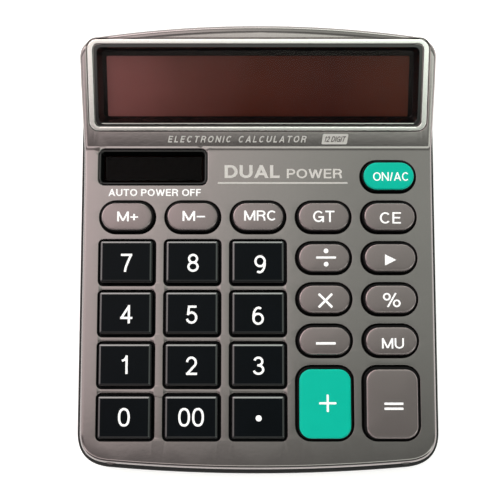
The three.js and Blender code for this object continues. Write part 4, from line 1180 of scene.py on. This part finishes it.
def capTop(hole, inset, roundness, top, sag):
    # rounded shoulder, then loops that close on the middle over a slight crown
    loops = []
    for i in range(6):
        angle = i / 5 * math.pi / 2
        grow = -inset - roundness * (1 - math.cos(angle)) + roundness
        loops.append(atHeight(holeRing(hole, grow - roundness), top - roundness * (1 - math.sin(angle))))
    last = loops[-1]
    for share in (0.85, 0.65, 0.42, 0.2):
        loops.append([Vector((hole["x"] + (p.x - hole["x"]) * share, hole["y"] + (p.y - hole["y"]) * share,
                              top + sag * (1 - share * share))) for p in last])
    return loops


def topSurface(hole, inset, top, sag):
    wide, long = hole["wide"] - inset, hole["long"] - inset

    def height(x, y):
        share = min(1.0, max(abs(x - hole["x"]) / wide, abs(y - hole["y"]) / long))
        return top + sag * (1 - share * share)
    return height


def keyPieces(node, hole):
    form = keyForm
    material, slotName = keyStyle(node)
    number = slotName == "key_black"
    skirt = newShape()
    low = [atHeight(holeRing(hole, form["flange"]), form["flangeLow"]),
           atHeight(holeRing(hole, form["flange"]), form["flangeHigh"]),
           atHeight(holeRing(hole, -form["play"]), form["flangeHigh"])]
    if number:
        # straight sides that draw in, then a narrow flat bevel round the top
        sag, top = 0.0, form["top"] - form["numberDrop"]
        out, bevelLow = -form["numberInset"] + form["bevel"], top - form["bevelDrop"]
        softOut, softDown = form["bevelSoft"]
        low.append(atHeight(holeRing(hole, -form["play"] - form["draft"]), form["sideBreak"]))
        low.append(atHeight(holeRing(hole, out + softOut), bevelLow - softDown))
        low.append(atHeight(holeRing(hole, out), bevelLow))
        addLoft(skirt, low, caps=(True, False))
        rim = atHeight(holeRing(hole, -form["numberInset"]), top)
        addLoft(skirt, [low[-1], rim], caps=(False, False), mark=1)
        face = atHeight(holeRing(hole, -form["numberInset"] - form["bevelFace"]), top)
        addLoft(skirt, [rim, face], caps=(False, True))
        makePiece(node.replace("key_", "cap_"), skirt, [material, bevelBlack], node, [node], toKeypad, 20)
        reach = form["numberInset"]
    else:
        inset = form["tallInset"] if hole["long"] > 8 else form["ovalInset"]
        edge = form["skirtTop"]
        low += [atHeight(holeRing(hole, -form["play"] - form["draft"]), edge - form["skirtRound"]),
                atHeight(holeRing(hole, -form["play"] - form["skirtDraw"]), edge)]
        addLoft(skirt, low)
        makePiece(node.replace("key_", "skirt_"), skirt, [keySkirt], node, [node], toKeypad, 50)
        face = newShape()
        top, sag = form["top"] - form["crown"], form["crown"]
        hole = {**hole, "y": hole["y"] - form["faceShift"]}
        start = atHeight(holeRing(hole, -inset), edge - form["faceSink"])
        addLoft(face, [start] + capTop(hole, inset, form["faceRound"], top, sag))
        makePiece(node.replace("key_", "face_"), face, [material], node, (), toKeypad, 50)
        reach = inset + form["faceRound"]
    ink = symbols[node] if node in symbols else textShape(*legends[node])
    surface = topSurface(hole, reach, top, sag)
    placed = newShape()
    shiftX, shiftY = legendShift.get(node, (0, 0))
    x, y = hole["x"] + shiftX, hole["y"] + shiftY
    moved = [Vector((p.x + x, p.y + y, surface(p.x + x, p.y + y) + inkLift / 2 + p.z)) for p in ink["points"]]
    addFaces(placed, moved, ink["faces"])
    makePiece(node.replace("key_", "legend_"), placed, [glowingWhiteInk], node, (), toKeypad, 30)


for node, hole in keys.items():
    keyPieces(node, hole)
print("keys made:", len(keys))

# ---- words on the case ----

badge = newShape()
addLoft(badge, [[Vector((p[0] + 0.15 * p[1], p[1], z)) for p in roundedRing(0, 0, 4.25, 1.75, 0.4, 4)]
                for z in (-0.02, 0.06)])
# name, shape, frame, middle across and along, height of the middle, ink and slot.
# textShape takes what it says, height, width, stroke, slant, and the gaps between letters and words
words = [
    ("auto_power_off", textShape("AUTO POWER OFF", 2.35, 31.0, 0.17), toKeypad, -34.6, 19.45, inkLift / 2,
     glowingWhiteInk, "print_white"),
    ("dual", textShape("DUAL", 4.4, 18.6, 0.19), toKeypad, -1.9, 26.6, inkLift / 2, silverInk, "print_white"),
    ("power", textShape("POWER", 3.2, 18.6, 0.16), toKeypad, 19.0, 25.9, inkLift / 2, silverInk, "print_white"),
    ("underline", barShape([(0, 0, 43.6, 0.5, 0)], (), 0.05), toKeypad, 8.3, 22.7, inkLift / 2,
     silverInk, "print_white"),
    ("strip", textShape("ELECTRONIC CALCULATOR", 2.2, 46.3, 0.17, 0.25, 0.36, 0.8), toHood, -6.9, 3.3, inkLift / 2,
     silverInk, "print_white"),
    ("badge", badge, toHood, 25.9, 3.3, 0, silverInk, "print_white"),
    ("digits", textShape("12 DIGIT", 1.9, 7.0, 0.16, 0.3), toHood, 25.9, 3.3, 0.06 + inkLift / 2,
     darkInk, "black_gloss"),
]
for name, shape, matrix, x, y, z, material, slotName in words:
    placed = newShape()
    addFaces(placed, [Vector((p.x + x, p.y + y, p.z + z)) for p in shape["points"]], shape["faces"])
    makePiece(f"words_{name}", placed, [material], "case", (), matrix, 30)
print("words made")

# ---- key mat: a thin sheet with one dome under each key ----

mat = {"domeLow": 3.1, "domeTop": 1.9, "domeHeight": 3.2, "keep": 0.52, "postHole": 3.9, "screwHole": 2.0,
       "rim": 4.2}


def keyMat():
    x, y, low, high = middleOf("rubber_keypad")
    domeTop = high.z
    sheetTop = domeTop - mat["domeHeight"]
    shape = newShape()
    outer = roundedRing(x, y, high.x - x, high.y - y, 1.5, 4)
    holes = []
    for i in range(1, 7):
        screwX, screwY, *_ = middleOf(f"case_screw_{i}")
        if low.y + mat["rim"] < screwY < high.y - mat["rim"]:
            holes.append(circle(screwX, screwY, mat["postHole"], 24))
    for i in range(1, 5):
        screwX, screwY, *_ = middleOf(f"board_screw_{i}")
        holes.append(circle(screwX, screwY, mat["screwHole"], 20))
    for z in (low.z, sheetTop):
        addFill(shape, outer, holes, lambda px, py: Vector((px, py, z)))
    for loop in [outer, *holes]:
        addLoft(shape, [atHeight(loop, low.z), atHeight(loop, sheetTop)], caps=(False, False))
    makePiece("key_mat", shape, [silicone], "case", ["rubber_keypad"], toKeypad, 30)
    for node, hole in keys.items():
        dome = newShape()
        profile = [(mat["domeLow"] + 0.25, sheetTop - 0.1), (mat["domeLow"], sheetTop + 0.15),
                   (mat["domeLow"] - 0.45, sheetTop + 1.3), (mat["domeTop"] + 0.1, sheetTop + 2.2),
                   (mat["domeTop"], domeTop - 0.15), (mat["domeTop"] - 0.15, domeTop)]
        addTurned(dome, hole["x"], hole["y"], profile, 24)
        piece = makePiece(node.replace("key_", "dome_"), dome, [silicone], "case", (), toKeypad, 50)
        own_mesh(piece)


keyMat()
print("key mat made")

# ---- feet, battery and its door ----

for i in range(1, 5):
    low, high = worldBox(f"foot_{i}")
    x, y = (low.x + high.x) / 2, (low.y + high.y) / 2
    shape = newShape()
    radius = (high.x - low.x) / 2
    addTurned(shape, x, y, [(radius - 0.9, 0), (radius - 0.5, 0.12), (radius - 0.3, 0.45), (radius, high.z - 0.25),
                            (radius - 0.1, high.z)], 40)
    makePiece(f"pad_{i}", shape, [footRubber], "case", [f"foot_{i}"], toWorld, 40)

door = {"length": 15.0, "edge": 0.35, "tabX": 18, "tabWidth": 8, "ribCount": 6, "ribPitch": 1.15, "ribRadius": 0.3,
        "ribLength": 14}


def batteryDoor():
    low, high = worldBox("battery_door")
    shape = newShape()
    front, back = high.y - door["length"], high.y
    addBlock(shape, (low.x, front, base["bottom"]), (high.x, back, base["floorTop"]), door["edge"])
    for side in (-1, 1):
        x = side * door["tabX"]
        x0, x1 = x - door["tabWidth"] / 2, x + door["tabWidth"] / 2
        addBlock(shape, (x0, low.y, high.z - 1.1), (x1, front + 1, high.z), 0.2)
        addBlock(shape, (x0, front, base["bottom"] + 0.5), (x1, front + 1, high.z - 0.02), 0.15)
    makePiece("door_plate", shape, [blackAbs], "battery_door", ["battery_door"], toWorld, 35)
    start = Vector((0, back - 2.6 - (door["ribCount"] - 1) * door["ribPitch"], base["bottom"] + 0.02))
    runTree("door_ribs", bars, [start], {
        "Count": door["ribCount"], "Pitch": (0.0, door["ribPitch"] * millimetre, 0.0),
        "Radius": door["ribRadius"] * millimetre, "Length": door["ribLength"] * millimetre,
        "Turn": (0.0, math.pi / 2, 0.0), "Finish": blackAbs}, "battery_door", (), 50)


batteryDoor()
lineStart = toKeypad @ Vector((solar["x"] - 9.0, solar["y"], cellHigh.z + 0.01))
runTree("solar_lines", bars, [lineStart], {
    "Count": 3, "Pitch": (9.0 * millimetre, 0.0, 0.0), "Radius": 0.06 * millimetre, "Length": 8.6 * millimetre,
    "Turn": (math.pi / 2 + keypadTilt, 0.0, 0.0), "Finish": scribe}, "case", (), 50)


def batteryShape():
    # zinc can with a label sleeve, crimped ends and a positive cap, lying along X
    low, high = worldBox("battery")
    y, z, radius = (low.y + high.y) / 2, (low.z + high.z) / 2, (high.y - low.y) / 2
    lying = Matrix.Translation((0, y, z)) @ Matrix.Rotation(math.pi / 2, 4, "Y")
    end = high.x - 1.2
    rows = [(radius - 1.6, low.x + 0.1, 1), (radius - 0.9, low.x, 1), (radius - 0.3, low.x + 0.25, 1),
            (radius - 0.12, low.x + 0.6, 1), (radius, low.x + 1.0, 0), (radius, end - 1.2, 0),
            (radius - 0.12, end - 0.8, 0), (radius - 0.5, end - 0.3, 1), (radius - 1.2, end, 1),
            (2.9, end - 0.1, 1), (2.6, end, 1), (2.6, high.x - 0.2, 1), (2.35, high.x, 1)]
    shape = newShape()
    loops = [[lying @ Vector((p[0], p[1], x)) for p in circle(0, 0, r, 48)] for r, x, _ in rows]
    for i in range(len(loops) - 1):
        addLoft(shape, loops[i:i + 2], caps=(i == 0, i == len(loops) - 2), mark=max(rows[i][2], rows[i + 1][2]))
    return shape


makePiece("battery_cell", batteryShape(), [batteryFoil, nickel], "case", ["battery"], toWorld, 35)
print("battery and door made")

# ---- CAD pieces whose shape stays ----

keptNodes = {"lcd_panel": lcdGlass, "lcd_backplate": nickel, "lcd_ribbon": ribbonFilm, "circuit_board": laminate,
             "chip_cover": epoxy, "capacitor": capSleeve, "contact_plate": nickel, "contact_spring": nickel}
for node, material in keptNodes.items():
    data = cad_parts[node].data
    data.materials.clear()
    data.materials.append(material)

# ---- floor, light and camera ----

studio = {"floor": 6.0, "floorGlow": 0.6, "tentLevel": 4.0, "rimLevel": 3.2, "rimTurn": 0.45, "horizonLevel": 1.05}
# light by direction: how far it leans to the back, then the level on the left and on the right
tent = [(-1.0, 0.3, 0.3), (-0.66, 0.02, 0.02), (-0.575, 0.02, 0.02), (-0.545, 1.2, 1.2), (-0.5, 1.7, 2.0),
        (-0.42, 1.6, 2.0), (-0.25, 0.35, 0.25), (-0.12, 0.12, 0.24), (-0.092, 1.1, 0.38), (0.0, 1.3, 0.59),
        (0.13, 1.6, 0.74), (0.3, 1.4, 0.75), (0.6, 0.7, 0.5), (1.0, 0.6, 0.5)]


def studioFloor():
    size = studio["floor"]
    mesh = bpy.data.meshes.new("studio_floor")
    mesh.from_pydata([(-size, -size, 0), (size, -size, 0), (size, size, 0), (-size, size, 0)], [], [(0, 1, 2, 3)])
    floor = bpy.data.objects.new("studio_floor", mesh)
    bpy.context.scene.collection.objects.link(floor)
    material, tree, shader = startMaterial("paleFloor", {"Roughness": 0.9, "Emission Strength": studio["floorGlow"],
                                                         "Emission Color": linear("#ffffff")})
    place = addNode(tree, "TexCoord").outputs["Object"]
    noise = addNode(tree, "TexNoise", {"Scale": 6.0}, {"Vector": place})
    tint = addNode(tree, "Mix", {"data_type": "RGBA", 6: linear("#f4f3f1"), 7: linear("#faf9f8")},
                   {0: noise.outputs["Fac"]})
    tree.links.new(tint.outputs[2], shader.inputs["Base Color"])
    mesh.materials.append(material)
    floor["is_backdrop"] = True


studioFloor()


def studioWorld():
    # soft tent of light, set by how far a direction leans to the back (1) or the front (-1), with a brighter rim low
    # at the back and left and a pale band at the horizon
    world = bpy.data.worlds.new("studio")
    bpy.context.scene.world = world
    world.use_nodes = True
    tree = world.node_tree
    place = addNode(tree, "TexCoord").outputs["Generated"]
    axes = addNode(tree, "SeparateXYZ", links={"Vector": place}).outputs
    lean = addNode(tree, "MapRange", {"From Min": -1.0, "From Max": 1.0}, {"Value": axes["Y"]})
    smooth = {"interpolation_type": "SMOOTHSTEP"}
    across = addNode(tree, "MapRange", {**smooth, "From Min": -0.2, "From Max": 0.12}, {"Value": axes["X"]})
    halves = []
    for column in (1, 2):
        ramp = addNode(tree, "ValToRGB", links={"Fac": lean.outputs[0]})
        while len(ramp.color_ramp.elements) < len(tent):
            ramp.color_ramp.elements.new(0.5)
        for element, stop in zip(ramp.color_ramp.elements, tent):
            element.position = (stop[0] + 1) / 2
            element.color = [stop[column] / studio["tentLevel"]] * 3 + [1.0]
        halves.append(ramp.outputs["Color"])
    level = addNode(tree, "Mix", {"data_type": "RGBA"}, {0: across.outputs[0], 6: halves[0], 7: halves[1]})
    behind = addNode(tree, "Math", {"operation": "MULTIPLY_ADD", 1: -studio["rimTurn"]}, {0: axes["X"], 2: axes["Y"]})
    facing = addNode(tree, "MapRange", {**smooth, "From Min": 0.4, "From Max": 0.75}, {"Value": behind.outputs[0]})
    upper = addNode(tree, "MapRange", {**smooth, "From Min": 0.66, "From Max": 0.6}, {"Value": axes["Z"]})
    lower = addNode(tree, "MapRange", {**smooth, "From Min": 0.34, "From Max": 0.4,
                                       "To Max": studio["rimLevel"] / studio["tentLevel"]}, {"Value": axes["Z"]})
    rim = addNode(tree, "Math", {"operation": "MULTIPLY"}, {0: upper.outputs[0], 1: lower.outputs[0]})
    rim = addNode(tree, "Math", {"operation": "MULTIPLY"}, {0: rim.outputs[0], 1: facing.outputs[0]})
    total = addNode(tree, "Mix", {"data_type": "RGBA", "blend_type": "ADD", 0: 1.0},
                    {6: level.outputs[2], 7: rim.outputs[0]})
    tint = addNode(tree, "Mix", {"data_type": "RGBA", 6: linear("#fff3f2"), 7: linear("#f4fff5")},
                   {0: across.outputs[0]})
    shade = addNode(tree, "Mix", {"data_type": "RGBA", "blend_type": "MULTIPLY", 0: 1.0},
                    {6: total.outputs[2], 7: tint.outputs[2]})
    horizon = addNode(tree, "MapRange", {**smooth, "From Min": 0.26, "From Max": 0.17}, {"Value": axes["Z"]})
    shade = addNode(tree, "Mix", {"data_type": "RGBA", 7: [studio["horizonLevel"] / studio["tentLevel"]] * 3 + [1.0]},
                    {0: horizon.outputs[0], 6: shade.outputs[2]})
    background = tree.nodes["Background"]
    background.inputs["Strength"].default_value = studio["tentLevel"]
    tree.links.new(shade.outputs[2], background.inputs["Color"])


studioWorld()

cameraSetup = {"distance": 400, "tilt": 7.5, "aimX": -2.67, "aimY": 0.0, "lens": 86.4, "sensor": 36}
lens = bpy.data.cameras.new("camera")
lens.lens = cameraSetup["lens"]
lens.sensor_width = cameraSetup["sensor"]
lens.clip_start, lens.clip_end = 0.01, 20
camera = bpy.data.objects.new("camera", lens)
bpy.context.scene.collection.objects.link(camera)
aim = toKeypad @ Vector((cameraSetup["aimX"], cameraSetup["aimY"], 0))
tilt = math.radians(cameraSetup["tilt"])
away = toKeypad.to_3x3() @ Vector((0, -math.sin(tilt), math.cos(tilt)))
camera.location = (aim + away * cameraSetup["distance"]) * millimetre
camera.rotation_euler = (-away).to_track_quat("-Z", "Y").to_euler()
bpy.context.scene.camera = camera
bpy.context.scene.view_settings.view_transform = "Standard"
print("studio made")

low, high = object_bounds()
